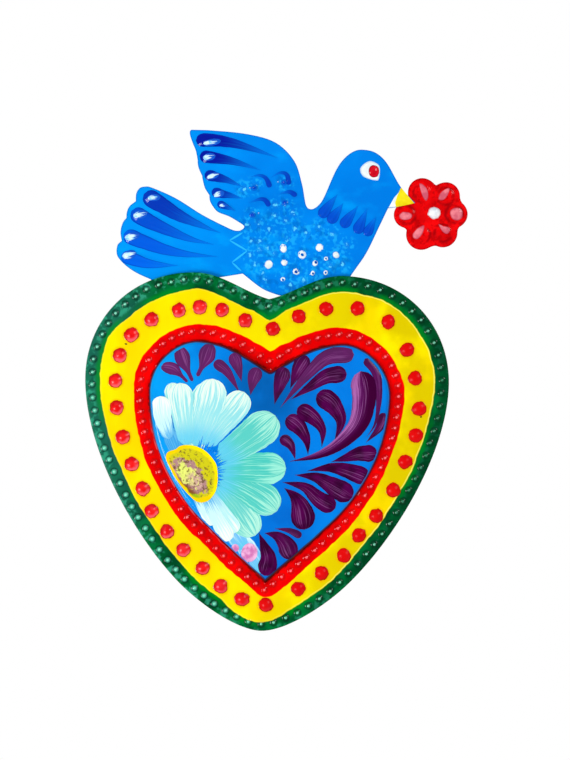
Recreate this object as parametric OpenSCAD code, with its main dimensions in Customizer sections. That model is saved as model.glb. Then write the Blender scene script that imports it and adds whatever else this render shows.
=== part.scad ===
// Pierced and embossed tinplate heart with a dove, made to hang on a wall.
// X runs to the viewer's right, Z up, and the front faces -Y. The wall is the plane y = 0.
// The origin lies on the back of the hanger saddle, on the axis that the hanging ring swings about.

/* [Sheet metal] */
// Thickness of the tinplate
sheet_t = 0.4; // [0.3:0.05:0.6]
// Depth of the heart plate's turned-back rim, behind its face
rim_depth = 2.5; // [2:0.1:4]
// Room between the flower's back and the wall
wall_gap = 0.6; // [0.4:0.1:2]

/* [Heart plate] */
// Width of the heart plate
heart_w = 182; // [165:1:200]
// Height of the heart plate, from its tip to the tops of its lobes
heart_h = 178.5; // [165:0.5:195]

/* [Puffed heart] */
// Width of the puffed heart in the middle
puffed_w = 121; // [110:1:126]
// Height of the puffed heart
puffed_h = 120.5; // [108:0.5:122]
// Distance from the plate's tip up to the puffed heart's tip
puffed_up = 24; // [22:0.5:27]
// Distance of the puffed heart to the right of the plate's middle
puffed_shift = 1.5; // [0:0.1:2]
// Height of its steep side wall, above the plate
wall_h = 3.5; // [2:0.1:6]
// Rise of its crown above the side wall
crown_h = 6; // [2:0.5:10]

/* [Beads and bosses] */
// Number of beads along the edge of the plate
edge_beads = 86; // [60:2:90]
// Width of an edge bead
edge_bead_d = 3; // [2:0.1:3.4]
// Distance of the edge beads from the plate's edge
edge_bead_in = 3.4; // [3:0.1:4.5]
// Number of beads around the puffed heart
ring_beads = 78; // [50:2:84]
// Width of a bead around the puffed heart
ring_bead_d = 2.8; // [2:0.1:3]
// Height of every bead
bead_h = 0.9; // [0.5:0.05:1]
// Width of a boss
boss_d = 7.2; // [5:0.1:8]
// Height of a boss
boss_h = 1.8; // [1:0.1:2.2]

/* [Dove] */
// Width of the dove, from the end of its tail to the tip of its beak
dove_w = 149; // [140:1:156]
// Height of the fluted feathers
flute_h = 1.2; // [0.8:0.1:1.5]
// Height of the small bumps
bump_h = 0.7; // [0.4:0.05:0.8]
// Width of the small bumps
bump_d = 3; // [2:0.1:3.2]

/* [Flower] */
// Width of the flower across its petals
flower_w = 37; // [32:0.5:40]
// Width of the embossed cup in a petal
cup_d = 7.8; // [5:0.1:8]
// Height of the cups
cup_h = 0.9; // [0.5:0.1:1.2]
// Width of the bump in the middle
eye_d = 6.5; // [5:0.1:7]
// Height of the bump in the middle
eye_h = 1.6; // [1:0.1:2]

/* [Hanger] */
// Distance from the notch down to the axis of the ring
pivot_drop = 7; // [6.5:0.1:12]
// Thickness of the ring's wire
wire_d = 1.8; // [1.2:0.1:2]
// Inner width of the ring
ring_in_d = 16.4; // [14:0.2:24]
// Width of the saddle's strip
saddle_w = 4; // [3:0.1:5]
// Thickness of the saddle's strip
saddle_t = 0.6; // [0.4:0.1:0.8]
// Length of each foot of the saddle
foot_l = 2.4; // [1.5:0.1:3]
// Clearance of the wire in the saddle
wire_gap = 0.6; // [0.5:0.05:0.8]

/* [Solder] */
// Width of a solder tack
tack_d = 3.2; // [2:0.1:3.6]
// Number of tacks around the puffed heart
puffed_tacks = 6; // [3:1:9]

/* [Hidden] */

$fn = 32;
red = [0.86, 0.03, 0.05];
green = [0, 0.37, 0.2];
blue = [0, 0.5, 0.92];
sky = [0, 0.55, 0.97];
tin = [0.72, 0.72, 0.7];
solder = [0.6, 0.6, 0.6];

// Depths of the stacked sheets. Each piece's back touches the front of the one behind it.
flower_back = -wall_gap;
dove_back = flower_back - sheet_t;
rim_back = dove_back - sheet_t;
plate_back = rim_back - rim_depth;
plate_front = plate_back - sheet_t;

notch_up = 0.93;
tip_z = pivot_drop - notch_up * heart_h;

// Control points of half a heart, from the notch to the tip, as shares of its half width and its height.
// Four curves, each with its start point and two handles, and the tip.
plate_shape = [
    [0, notch_up], [0.13, 0.946], [0.26, 1],
    [0.404, 1], [0.755, 1], [1, 0.865],
    [1, 0.702], [1, 0.506], [0.714, 0.26],
    [0.466, 0.134], [0.34, 0.07], [0.13, 0], [0, 0]];
puffed_shape = [
    [0, 0.881], [0.068, 0.893], [0.305, 1],
    [0.604, 1], [0.76, 1], [1, 0.916],
    [1, 0.784], [1, 0.535], [0.724, 0.333],
    [0.487, 0.226], [0.327, 0.143], [0.13, 0.06], [0, 0]];
curve_steps = 9;

function bezier(a, b, c, d, t) =
    pow(1 - t, 3) * a + 3 * pow(1 - t, 2) * t * b + 3 * (1 - t) * t * t * c + pow(t, 3) * d;

// The right half of a heart, without its last point
function half_heart(shape, steps) = [
    for (i = [0:3]) for (k = [0:steps - 1])
        bezier(shape[3 * i], shape[3 * i + 1], shape[3 * i + 2], shape[3 * i + 3], k / steps)];

function mirrored(p) = [-p.x, p.y];

// A whole heart of the given size, clockwise from its notch
function heart(shape, w, h, up, steps = curve_steps) = let(
    right = [for (p = half_heart(shape, steps)) [p.x * w / 2, up + p.y * h]],
    n = len(right))
    concat(right, [[0, up]], [for (i = [n - 1:-1:1]) mirrored(right[i])]);

// A clockwise outline moved inwards by d
function inset(p, d) = let(n = len(p)) [
    for (i = [0:n - 1]) let(
        run = p[(i + 1) % n] - p[(i + n - 1) % n],
        side = [run.y, -run.x] / norm(run))
        p[i] + d * side];

// Points between two outlines that have as many points, w = 0 on the first and 1 on the second
function between(a, b, w) = [for (i = [0:len(a) - 1]) a[i] * (1 - w) + b[i] * w];

// Lengths along an open line, up to each of its points
function run_lengths(p) = [for (i = 0, s = 0; i < len(p);
    s = s + (i + 1 < len(p) ? norm(p[i + 1] - p[i]) : 0), i = i + 1) s];

// The point of an open line that lies at length s
function at_length(p, lengths, s) = let(
    i = max([for (k = [0:len(p) - 2]) if (lengths[k] <= s) k]),
    part = (s - lengths[i]) / (lengths[i + 1] - lengths[i]))
    p[i] + part * (p[i + 1] - p[i]);

// n points at even distances along an open line, without its two ends
function spread(p, n) = let(lengths = run_lengths(p), total = lengths[len(p) - 1])
    [for (k = [1:n]) at_length(p, lengths, total * k / (n + 1))];

// n points at even distances around a closed line, the first on its start
function spread_round(p, n) = let(q = concat(p, [p[0]])) concat([p[0]], spread(q, n - 1));

plate_line = heart(plate_shape, heart_w, heart_h, tip_z);
puffed_middle_line = heart(puffed_shape, puffed_w, puffed_h, tip_z + puffed_up);
puffed_line = [for (p = puffed_middle_line) p + [puffed_shift, 0]];
half_count = 4 * curve_steps;

// Where the inner beads run, as a share of the way from the plate's edge to the puffed heart
bead_way = 0.86;

// The bosses down each side, uneven as pressed by hand: each one's share of the way from the plate's edge to
// the puffed heart, and its share of the length from the notch to the tip
right_bosses = [
    [0.43, 0.067], [0.47, 0.13], [0.46, 0.193], [0.44, 0.259], [0.5, 0.33], [0.54, 0.392], [0.45, 0.457],
    [0.42, 0.515], [0.44, 0.57], [0.41, 0.633], [0.42, 0.695], [0.46, 0.749], [0.42, 0.8], [0.45, 0.855],
    [0.48, 0.916]];
left_bosses = [
    [0.44, 0.051], [0.47, 0.106], [0.5, 0.154], [0.54, 0.202], [0.5, 0.259], [0.47, 0.312], [0.47, 0.36],
    [0.49, 0.415], [0.5, 0.469], [0.49, 0.532], [0.48, 0.591], [0.48, 0.648], [0.41, 0.698], [0.44, 0.748],
    [0.46, 0.799], [0.46, 0.853], [0.44, 0.905], [0.45, 0.956]];

// The two bosses between the sides, measured from the plate's notch and from its tip
notch_boss = [2, -15];
tip_boss = [2, 13];

// The place of a boss on the right half
function boss_place(b) = let(
    line = [for (i = [0:half_count]) plate_line[i] * (1 - b[0]) + puffed_middle_line[i] * b[0]],
    lengths = run_lengths(line))
    at_length(line, lengths, b[1] * lengths[half_count]);

// Radius of the ball whose cap has the given width and height
function cap_r(d, h) = (d * d / 4 + h * h) / (2 * h);

// A flat sheet with the given back face, cut to a polygon
module sheet(back, points, t = sheet_t) {
    translate([0, back, 0]) rotate([90, 0, 0]) linear_extrude(t) polygon(points);
}

// The room in front of a plane that faces -Y
reach = 400;
module in_front_of(y) {
    translate([-reach / 2, y - reach, -reach / 2]) cube(reach);
}

// The ball of a cap that stands d wide and h high on the plane y = front, drawn in by skin
module cap_ball(p, d, h, front, skin = 0) {
    r = cap_r(d, h);
    translate([p.x, front + r - h, p.y]) sphere(r - skin);
}

// Caps pressed into a sheet from behind, as solid domes or, with hollow set, as the room behind them
module caps(places, d, h, front, hollow = false) {
    for (p = places) {
        if (hollow) {
            cap_ball(p, d, h, front, sheet_t);
        } else {
            intersection() {
                cap_ball(p, d, h, front);
                in_front_of(front + sheet_t / 2);
            }
        }
    }
}

module plate_caps(hollow) {
    caps(spread_round(inset(plate_line, edge_bead_in), edge_beads), edge_bead_d, bead_h, plate_front, hollow);
    caps(spread_round(between(plate_line, puffed_line, bead_way), ring_beads), ring_bead_d, bead_h,
         plate_front, hollow);
    caps([for (b = right_bosses) boss_place(b)], boss_d, boss_h, plate_front, hollow);
    caps([for (b = left_bosses) mirrored(boss_place(b))], boss_d, boss_h, plate_front, hollow);
    caps([plate_line[0] + notch_boss, plate_line[half_count] + tip_boss], boss_d, boss_h, plate_front, hollow);
}

module heart_plate() {
    color(red) difference() {
        union() {
            sheet(plate_back, plate_line);
            plate_caps(false);
        }
        plate_caps(true);
    }
    color(green) difference() {
        sheet(rim_back, plate_line, rim_depth);
        translate([0, sheet_t, 0]) sheet(rim_back, inset(plate_line, sheet_t), rim_depth + 2 * sheet_t);
    }
}

// Rings of the puffed heart from its foot to its middle: share of the full outline, and height.
// The side wall leans in by its draft up to a share of its height, and is rounded over above that.
shoulder = 0.965;
crown_rings = 7;
wall_draft = 0.012;
draft_up = 0.7;
round_up = 0.93;
function crown(s) = wall_h + crown_h * (1 - pow(s / shoulder, 2));
puffed_rings = concat(
    [[1, 0], [1 - wall_draft, wall_h * draft_up], [(1 - wall_draft + shoulder) / 2, wall_h * round_up]],
    [for (k = [0:crown_rings - 1]) let(s = shoulder * (1 - k / crown_rings)) [s, crown(s)]]);
middle_up = 0.58;
puffed_middle = [puffed_shift, tip_z + puffed_up + middle_up * puffed_h];

// The crown's rings get rounder towards the middle, where they come near a circle of this share of the width
round_share = 0.43;
function ring_reach(full, s) = s * (round_share * puffed_w * (1 - s) + full * s);

// One skin of the puffed heart, drawn in and sunk by skin
function puffed_skin(skin) = concat(
    [for (ring = puffed_rings) for (p = puffed_line) let(
        full = norm(p - puffed_middle),
        q = puffed_middle + (p - puffed_middle) / full * (ring_reach(full, ring[0]) - skin))
        [q.x, plate_front - max(ring[1] - skin, 0), q.y]],
    [[puffed_middle.x, plate_front - crown(0) + skin, puffed_middle.y]]);

module puffed_heart() {
    n = len(puffed_line);
    rings = len(puffed_rings);
    size = n * rings + 1;
    outer = [for (r = [0:rings - 2]) for (i = [0:n - 1]) let(j = (i + 1) % n)
        each [[r * n + i, (r + 1) * n + j, (r + 1) * n + i], [r * n + i, r * n + j, (r + 1) * n + j]]];
    middle = [for (i = [0:n - 1]) [(rings - 1) * n + i, (rings - 1) * n + (i + 1) % n, size - 1]];
    skin = concat(outer, middle);
    back = [for (f = skin) [f[2] + size, f[1] + size, f[0] + size]];
    foot = [for (i = [0:n - 1]) let(j = (i + 1) % n) each [[i, size + i, size + j], [i, size + j, j]]];
    color(blue)
        polyhedron(points = concat(puffed_skin(0), puffed_skin(sheet_t)), faces = concat(skin, back, foot));
}

// Points along a smooth line through the given ones, without the last
function spline(p, n = 3) = [
    for (i = [0:len(p) - 2]) for (k = [0:n - 1]) let(
        a = p[max(i - 1, 0)], b = p[i], c = p[i + 1], d = p[min(i + 2, len(p) - 1)], t = k / n)
        0.5 * (2 * b + (c - a) * t + (2 * a - 5 * b + 4 * c - d) * t * t + (3 * b - a - 3 * c + d) * pow(t, 3))];

// The dove's outline, measured from the heart's notch, drawn for a width of 149
dove_drawn_w = 149;
beak_tip = [72, 50];
wing_top = [[-41, 84], [-33, 84], [-13, 82.5], [1.5, 78.5], [11, 69.5], [15.5, 58.5], [18, 48], [20, 45]];
head_line = [[20, 45], [24.5, 49.5], [27, 53.5], [32, 65.5], [36.5, 72], [41.5, 75.5], [46.5, 76],
             [52, 74.5], [57.5, 69.5], [64.5, 58], beak_tip];
breast_line = [[58.5, 47], [54, 37], [48, 24], [40, 11.5], [38, 4.5]];
breast_flap = [[38, 4.5], [15.5, -3], [9.5, -1.5]];
belly_line = [[8.5, 1.5], [3.5, 2.5], [-4, 5.5], [-13.5, 12.5]];
tail_flap = [[-13.5, 12.5], [-27, 10], [-27.5, 5], [-56.5, 3]];
tail_ends = [
    [[-59.5, 8.5], [-66.5, 11.5], [-72, 15], [-76, 19], [-77, 22], [-76.5, 25.5], [-74.5, 27.5]],
    [[-74.5, 27.5], [-75.2, 31], [-75, 34], [-74, 37], [-72.5, 39]],
    [[-72.5, 39], [-72.3, 42], [-71, 45], [-68, 47.5]],
    [[-68, 47.5], [-67.8, 51.5], [-66, 54.3], [-63.5, 55]]];
tail_top = [[-63.5, 55], [-60, 54.5], [-48, 49.5], [-34.5, 41.5], [-22, 35.5], [-18, 34], [-15.5, 34]];
slit = [[-15.5, 34], [-13.7, 35.2], [-13.6, 36.6], [-16.5, 38.5], [-21, 41], [-26.5, 43], [-29, 45.5],
        [-30.8, 48.5], [-31.2, 51.5]];
wing_ends = [
    [[-31.2, 51.5], [-33.5, 55], [-34.8, 59.5], [-35, 61]],
    [[-35, 61], [-36.5, 64], [-37.3, 66.5], [-37.5, 69]],
    [[-37.5, 69], [-38.5, 73.5], [-40, 77], [-41.5, 81], [-41.7, 83], [-41, 84]]];
dove_drawn = concat(spline(wing_top, 4), spline(head_line), [beak_tip, [62, 47.5]], spline(breast_line),
    breast_flap, spline(belly_line), tail_flap, [for (line = tail_ends) each spline(line)],
    spline(tail_top), spline(slit), [for (line = wing_ends) each spline(line)]);

// Feathers and drops: the middle of the round end, the point, and half the width
feathers = [
    [[-34.5, 78], [0.5, 72], 3], [[-32, 70], [-7, 65.5], 3], [[-30.5, 61], [-15.5, 56.5], 2.6],
    [[-27, 52.5], [-15.5, 50], 2.2], [[-24, 46.5], [-17.5, 44], 1.8],
    [[-60, 49.5], [-28, 33.5], 3.6], [[-65.5, 40.5], [-28.5, 27], 3.6], [[-69.5, 29.2], [-28.5, 21], 3.4],
    [[-70.5, 20.5], [-49, 15.5], 2.8]];
drops = [
    [[25.5, 43], [33, 53.5], 1.6], [[30, 40.3], [36, 49], 1.6], [[36.5, 38.3], [43.5, 48], 1.6],
    [[43.5, 35.5], [48, 46.5], 1.6], [[48.3, 34.2], [52.5, 42.5], 1.4]];
big_bump = [-1, 17.5];
big_bump_d = 5;
bumps = [
    [6.5, 25.5], [16, 22.5], [24.5, 26.5], [33, 23], [28, 21], [7, 18.5], [22.5, 18.5], [13, 14],
    [21.5, 13.5], [28, 14], [6.5, 10], [-8.5, 56.5], [6.5, 59], [7, 48.5], [-9, 42.5]];
small_bumps = [
    [-9.5, 29], [-5.5, 29], [-1.5, 25.5], [-5.5, 24.5], [-1, 35], [7.5, 39.5], [12, 35.5], [18, 33.5],
    [-7.5, 17.5], [-4, 13.5], [-10, 22], [2, 23], [11, 43.5], [38, 28], [36.5, 18.5], [30.5, 17.5],
    [8.5, 30], [17, 10], [10.5, 7.5], [-2.5, 9.5], [-12, 37], [-6, 38], [1.5, 42], [31, 33.5],
    [24, 36.5], [-14, 55], [2, 47.5]];
small_share = 0.75;
bird_eye = [50, 65.5];
bird_eye_d = 4.5;

dove_scale = dove_w / dove_drawn_w;
function on_dove(p) = [p.x * dove_scale, p.y * dove_scale + pivot_drop];
function all_on_dove(list) = [for (p = list) on_dove(p)];

// Share of a flute's length at which the room behind it starts
hollow_from = 0.4;

// A flute that tapers from a round end at a to a point at b, turned about a line that leans back into the sheet
round_steps = 5;
module flute(a, b, half_w, h, front, skin = 0) {
    r = cap_r(2 * half_w, h);
    depth = r - h;
    start = skin > 0 ? hollow_from : sheet_t / r;
    big = [a.x, front + depth, a.y];
    small = [b.x + start * (a.x - b.x), front + start * depth, b.y + start * (a.y - b.y)];
    way = big - small;
    turn = [0, acos(way.z / norm(way)), atan2(way.y, way.x)];
    end = [for (k = [0:round_steps]) let(t = 90 * k / round_steps)
        [(r - skin) * cos(t), norm(way) + (r - skin) * sin(t)]];
    translate(small) rotate(turn) rotate_extrude() polygon(concat([[0, 0], [start * r - skin, 0]], end));
}

module flutes(list, front, hollow) {
    for (f = list) {
        if (hollow) {
            flute(on_dove(f[0]), on_dove(f[1]), f[2], flute_h, front, sheet_t);
        } else {
            intersection() {
                flute(on_dove(f[0]), on_dove(f[1]), f[2], flute_h, front);
                in_front_of(front + sheet_t / 2);
            }
        }
    }
}

module dove_relief(hollow) {
    front = dove_back - sheet_t;
    flutes(concat(feathers, drops), front, hollow);
    caps(all_on_dove(bumps), bump_d, bump_h, front, hollow);
    caps(all_on_dove(small_bumps), bump_d * small_share, bump_h * small_share, front, hollow);
    caps(all_on_dove([big_bump]), big_bump_d, bump_h, front, hollow);
    caps(all_on_dove([bird_eye]), bird_eye_d, bump_h, front, hollow);
}

module dove_plate() {
    color(sky) difference() {
        union() {
            sheet(dove_back, all_on_dove(dove_drawn));
            dove_relief(false);
        }
        intersection() {
            dove_relief(true);
            translate([0, sheet_t / 2, 0]) in_front_of(dove_back);
        }
    }
}

// The hand-cut petals, drawn for a width of 37: the middle of each one's arc from the flower's, and its radius
flower_drawn_w = 37;
flower_scale = flower_w / flower_drawn_w;
petals = flower_scale * [
    [-6, 10, 7.2], [6, 8.5, 6.9], [10.2, -0.5, 6.8], [4.8, -10, 7.3], [-6, -11.2, 7.6], [-13.5, -1.5, 6.5]];
hub_r = 12 * flower_scale;

// The beak's tip laps over the flower, whose middle lies past it
flower_past_beak = [9.5, -4.6];
flower_mid = on_dove(beak_tip) + flower_past_beak;
petal_mids = [for (p = petals) flower_mid + [p[0], p[1]]];

// Distance from the flower's middle to its edge, in a direction
function petal_edge(p, way) = let(
    along = p[0] * way.x + p[1] * way.y,
    left = pow(p[2], 2) - pow(p[0], 2) - pow(p[1], 2) + pow(along, 2))
    left > 0 ? along + sqrt(left) : 0;
beak_way = -flower_past_beak / norm(flower_past_beak);
beak_edge_r = max([for (p = petals) petal_edge(p, beak_way)]);

module flower_outline() {
    translate(flower_mid) circle(hub_r);
    for (p = petals) {
        translate(flower_mid + [p[0], p[1]]) circle(p[2]);
    }
}

module flower_blank() {
    translate([0, flower_back, 0]) rotate([90, 0, 0]) linear_extrude(sheet_t) flower_outline();
}

module flower_caps(hollow) {
    front = flower_back - sheet_t;
    caps(petal_mids, cup_d, cup_h, front, hollow);
    caps([flower_mid], eye_d, eye_h, front, hollow);
}

module flower_plate() {
    color(red) difference() {
        union() {
            flower_blank();
            flower_caps(false);
        }
        flower_caps(true);
    }
}

// The hanger: a strip bent over the ring's wire, with a foot above and a foot below
wire_r = wire_d / 2;
ring_r = (ring_in_d + wire_d) / 2;
sag_in_saddle = ring_r - sqrt(pow(ring_r, 2) - pow(saddle_w / 2, 2));
pivot_y = -(saddle_t + wire_gap + wire_r);
gap_above_wire = 0.7 * wire_gap;
saddle_in = wire_r + sag_in_saddle + gap_above_wire;
saddle_out = saddle_in + saddle_t;

module hanger_saddle() {
    color(tin) rotate([90, 0, 90]) translate([0, 0, -saddle_w / 2]) linear_extrude(saddle_w) difference() {
        union() {
            translate([plate_back, -saddle_out]) square([-plate_back, 2 * saddle_out]);
            translate([plate_back, -saddle_out - foot_l]) square([saddle_t, 2 * (saddle_out + foot_l)]);
        }
        translate([plate_back - saddle_t, -saddle_in]) square([-plate_back, 2 * saddle_in]);
    }
}

module hanger_ring() {
    color(tin) translate([0, pivot_y, -ring_r]) rotate([90, 0, 0])
        rotate_extrude($fn = 64) translate([ring_r, 0]) circle(wire_r);
}

// Widths of the smaller tacks, and how far those at the saddle's feet stand out past its sides
small_tack_d = 0.75 * tack_d;
foot_tack_d = 0.8 * foot_l;
foot_tack_out = 0.1 * foot_l;

// A tack of solder: the part of a ball behind or before the faces that it runs onto
module tack(p, y, d = tack_d) {
    translate([p.x, y, p.y]) sphere(d / 2);
}

module puffed_heart_solder() {
    color(solder) difference() {
        intersection() {
            for (p = spread_round(puffed_line, puffed_tacks)) {
                tack(p, plate_front, small_tack_d);
            }
            in_front_of(plate_front);
        }
        sheet(plate_front, puffed_line, wall_h);
    }
}

// Places along the plate's outline where the dove's two flaps are tacked to the rim
breast_tacks = [5, 7, 9];
tail_tacks = [7, 10, 12];
function rim_place(k) = inset(plate_line, sheet_t)[k];

module dove_solder() {
    color(solder) intersection() {
        union() {
            for (k = breast_tacks) {
                tack(rim_place(k), rim_back);
            }
            for (k = tail_tacks) {
                tack(mirrored(rim_place(k)), rim_back);
            }
        }
        in_front_of(rim_back);
        sheet(rim_back, inset(plate_line, sheet_t), rim_depth);
    }
}

module flower_solder() {
    place = flower_mid + beak_edge_r * beak_way;
    color(solder) difference() {
        intersection() {
            tack(place, dove_back);
            translate([0, wall_gap + sheet_t, 0]) in_front_of(dove_back);
            translate([-reach / 2, dove_back, -reach / 2]) cube(reach);
        }
        flower_blank();
    }
}

module saddle_solder() {
    foot_mid = saddle_out + foot_l / 2;
    color(solder) difference() {
        intersection() {
            for (side = [-1, 1]) for (end = [-1, 1]) {
                tack([side * (saddle_w / 2 + foot_tack_out), end * foot_mid], plate_back, foot_tack_d);
            }
            translate([-reach / 2, plate_back, -reach / 2]) cube(reach);
        }
        hanger_saddle();
    }
}

heart_plate();
puffed_heart();
dove_plate();
flower_plate();
hanger_saddle();
hanger_ring();
puffed_heart_solder();
dove_solder();
flower_solder();
saddle_solder();
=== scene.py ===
import math
import random

import bpy
import numpy as np
from mathutils import Matrix, Vector, geometry, noise


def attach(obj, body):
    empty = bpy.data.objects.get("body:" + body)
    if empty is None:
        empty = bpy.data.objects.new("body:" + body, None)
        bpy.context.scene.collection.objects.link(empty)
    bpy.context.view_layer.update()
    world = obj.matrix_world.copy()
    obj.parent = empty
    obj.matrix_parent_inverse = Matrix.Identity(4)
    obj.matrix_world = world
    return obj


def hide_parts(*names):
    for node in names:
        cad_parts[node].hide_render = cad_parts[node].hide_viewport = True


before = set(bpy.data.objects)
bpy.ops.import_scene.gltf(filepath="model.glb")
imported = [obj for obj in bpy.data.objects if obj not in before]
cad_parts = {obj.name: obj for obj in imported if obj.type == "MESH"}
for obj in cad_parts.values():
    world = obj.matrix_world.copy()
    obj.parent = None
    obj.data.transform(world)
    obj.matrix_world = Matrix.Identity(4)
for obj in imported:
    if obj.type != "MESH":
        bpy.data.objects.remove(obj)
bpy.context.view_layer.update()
rng = random.Random(7)

# Sizes are in millimetres unless a comment says metres. Plane points are (x, z), and the front faces -Y.
MM = 0.001
CHUNK = 4000  # points measured at a time
SHEET = 0.4
NOTCH = 7.0
FLOWER_FRONT = -1.0
DOVE_FRONT = -1.4
RIM_BACK = -1.4
PLATE_FRONT = -4.3
HEART_W, HEART_H = 182, 178.5
TIP = NOTCH - 0.93 * HEART_H
PUFFED_W, PUFFED_H, PUFFED_UP, PUFFED_SHIFT = 121, 120.5, 24, 1.5
WALL_H, CROWN_H, WALL_SHARE = 3.5, 5.7, 0.965

# Half an outline each, as curves' control points in shares of half the width and of the height.
PLATE_SHAPE = [(0, .93), (.13, .946), (.26, 1), (.404, 1), (.755, 1), (1, .865), (1, .702), (1, .506),
               (.714, .26),
               (.466, .134), (.34, .07), (.13, 0), (0, 0)]
PUFFED_SHAPE = [(0, .881), (.068, .893), (.305, 1), (.604, 1), (.76, 1), (1, .916), (1, .784), (1, .535),
                (.724, .333),
                (.487, .226), (.327, .143), (.13, .06), (0, 0)]


# Lines in the plane

def heart_line(shape, w, h, up, steps):
    """A heart's outline, clockwise from its notch."""
    half = []
    for i in range(0, 12, 3):
        a, b, c, d = np.array(shape[i:i + 4], float)
        for k in range(steps):
            t = k / steps
            half.append((1 - t) ** 3 * a + 3 * (1 - t) ** 2 * t * b + 3 * (1 - t) * t * t * c + t ** 3 * d)
    right = [(p[0] * w / 2, up + p[1] * h) for p in half]
    left = [(-x, z) for x, z in right[:0:-1]]
    return np.array(right + [(0, up)] + left)


def inset(line, d):
    run = np.roll(line, -1, 0) - np.roll(line, 1, 0)
    run /= np.linalg.norm(run, axis=1)[:, None]
    return line + d * np.stack([run[:, 1], -run[:, 0]], 1)


def run_along(line):
    """Distance of each point of an open line from its start."""
    return np.concatenate([[0], np.cumsum(np.linalg.norm(np.diff(line, axis=0), axis=1))])


def at_run(line, run, at):
    return np.stack([np.interp(at, run, line[:, k]) for k in (0, 1)], -1)


def spread(line, n):
    """n points at even distances along an open line, without its ends."""
    run = run_along(line)
    return at_run(line, run, run[-1] * np.arange(1, n + 1) / (n + 1))


def spread_round(line, n):
    return np.vstack([line[:1], spread(np.vstack([line, line[:1]]), n - 1)])


def smooth_run(points, n=6):
    """Points along a smooth line through the given ones, without the last."""
    p = np.array(points, float)
    out = []
    for i in range(len(p) - 1):
        a, b, c, d = p[max(i - 1, 0)], p[i], p[i + 1], p[min(i + 2, len(p) - 1)]
        for k in range(n):
            t = k / n
            out.append(0.5 * (2 * b + (c - a) * t + (2 * a - 5 * b + 4 * c - d) * t * t
                              + (3 * b - a - 3 * c + d) * t ** 3))
    return out


def in_chunks(points, measure):
    return np.concatenate([measure(points[i:i + CHUNK, None, :]) for i in range(0, len(points), CHUNK)], -1)


def to_line(points, line, closed=True):
    """Distance of each point from a line."""
    a, b = (line, np.roll(line, -1, 0)) if closed else (line[:-1], line[1:])
    ab = b - a

    def far(p):
        t = np.clip(((p - a) * ab).sum(2) / (ab * ab).sum(1), 0, 1)
        return np.sqrt((((p - a) - t[..., None] * ab) ** 2).sum(2).min(1))
    return in_chunks(points, far)


def inside(points, line):
    x, z = points[:, :1], points[:, 1:]
    a, b = line, np.roll(line, -1, 0)
    cross = (a[:, 1] > z) != (b[:, 1] > z)
    with np.errstate(divide="ignore", invalid="ignore"):
        at = a[:, 0] + (z - a[:, 1]) * (b[:, 0] - a[:, 0]) / (b[:, 1] - a[:, 1])
    return (cross & (x < at)).sum(1) % 2 == 1


def to_marks(points, marks):
    """Distance of each point from the nearest mark, and which one that is."""
    def nearest(p):
        d = np.linalg.norm(p - marks, axis=2)
        return np.stack([d.min(1), d.argmin(1)])
    near, which = in_chunks(points, nearest)
    return near, which.astype(int)


def soft_cap(q):
    """Height of a pressed dome with a rounded foot, 1 in its middle and none beyond q = 1.5."""
    raw = 1 - np.minimum(q, 1.5) ** 2
    return np.clip(0.5 * (raw + np.sqrt(raw ** 2 + 0.02)) - 0.004, 0, None)


def waves(points, size, seed):
    """A smooth random field of about -1 to 1."""
    return np.array([noise.noise(Vector((x / size, z / size, seed))) for x, z in points])


COARSE, FINE = 9, 36  # points for each of the four curves of half an outline
HALF = 4 * COARSE
plate_line, plate_fine = (heart_line(PLATE_SHAPE, HEART_W, HEART_H, TIP, n) for n in (COARSE, FINE))
puffed_middle_line, puffed_fine = (
    heart_line(PUFFED_SHAPE, PUFFED_W, PUFFED_H, TIP + PUFFED_UP, n) for n in (COARSE, FINE))
puffed_line, puffed_fine = puffed_middle_line + [PUFFED_SHIFT, 0], puffed_fine + [PUFFED_SHIFT, 0]

# The places of beads, bosses and feathers

# Each boss: its part of the way from the plate's edge to the puffed heart, and its share down from the notch.
RIGHT_BOSSES = [(.43, .067), (.47, .13), (.46, .193), (.44, .259), (.5, .33), (.54, .392), (.45, .457),
                (.42, .515),
                (.44, .57), (.41, .633), (.42, .695), (.46, .749), (.42, .8), (.45, .855), (.48, .916)]
LEFT_BOSSES = [(.44, .051), (.47, .106), (.5, .154), (.54, .202), (.5, .259), (.47, .312), (.47, .36),
               (.49, .415),
               (.5, .469), (.49, .532), (.48, .591), (.48, .648), (.41, .698), (.44, .748), (.46, .799),
               (.46, .853),
               (.44, .905), (.45, .956)]


def boss_place(way, share):
    """The place at this share of the line that lies this part of the way in from the plate's edge."""
    line = (plate_line * (1 - way) + puffed_middle_line * way)[:HALF + 1]
    run = run_along(line)
    return at_run(line, run, share * run[-1])


BOSSES = np.vstack([plate_line[0] + (2, -15), plate_line[HALF] + (2, 13),
                    [boss_place(*b) for b in RIGHT_BOSSES],
                    [boss_place(*b) * [-1, 1] for b in LEFT_BOSSES]])
EDGE_BEADS = spread_round(inset(plate_line, 3.4), 86)
RING_BEADS = spread_round(plate_line * 0.14 + puffed_line * 0.86, 78)

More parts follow.
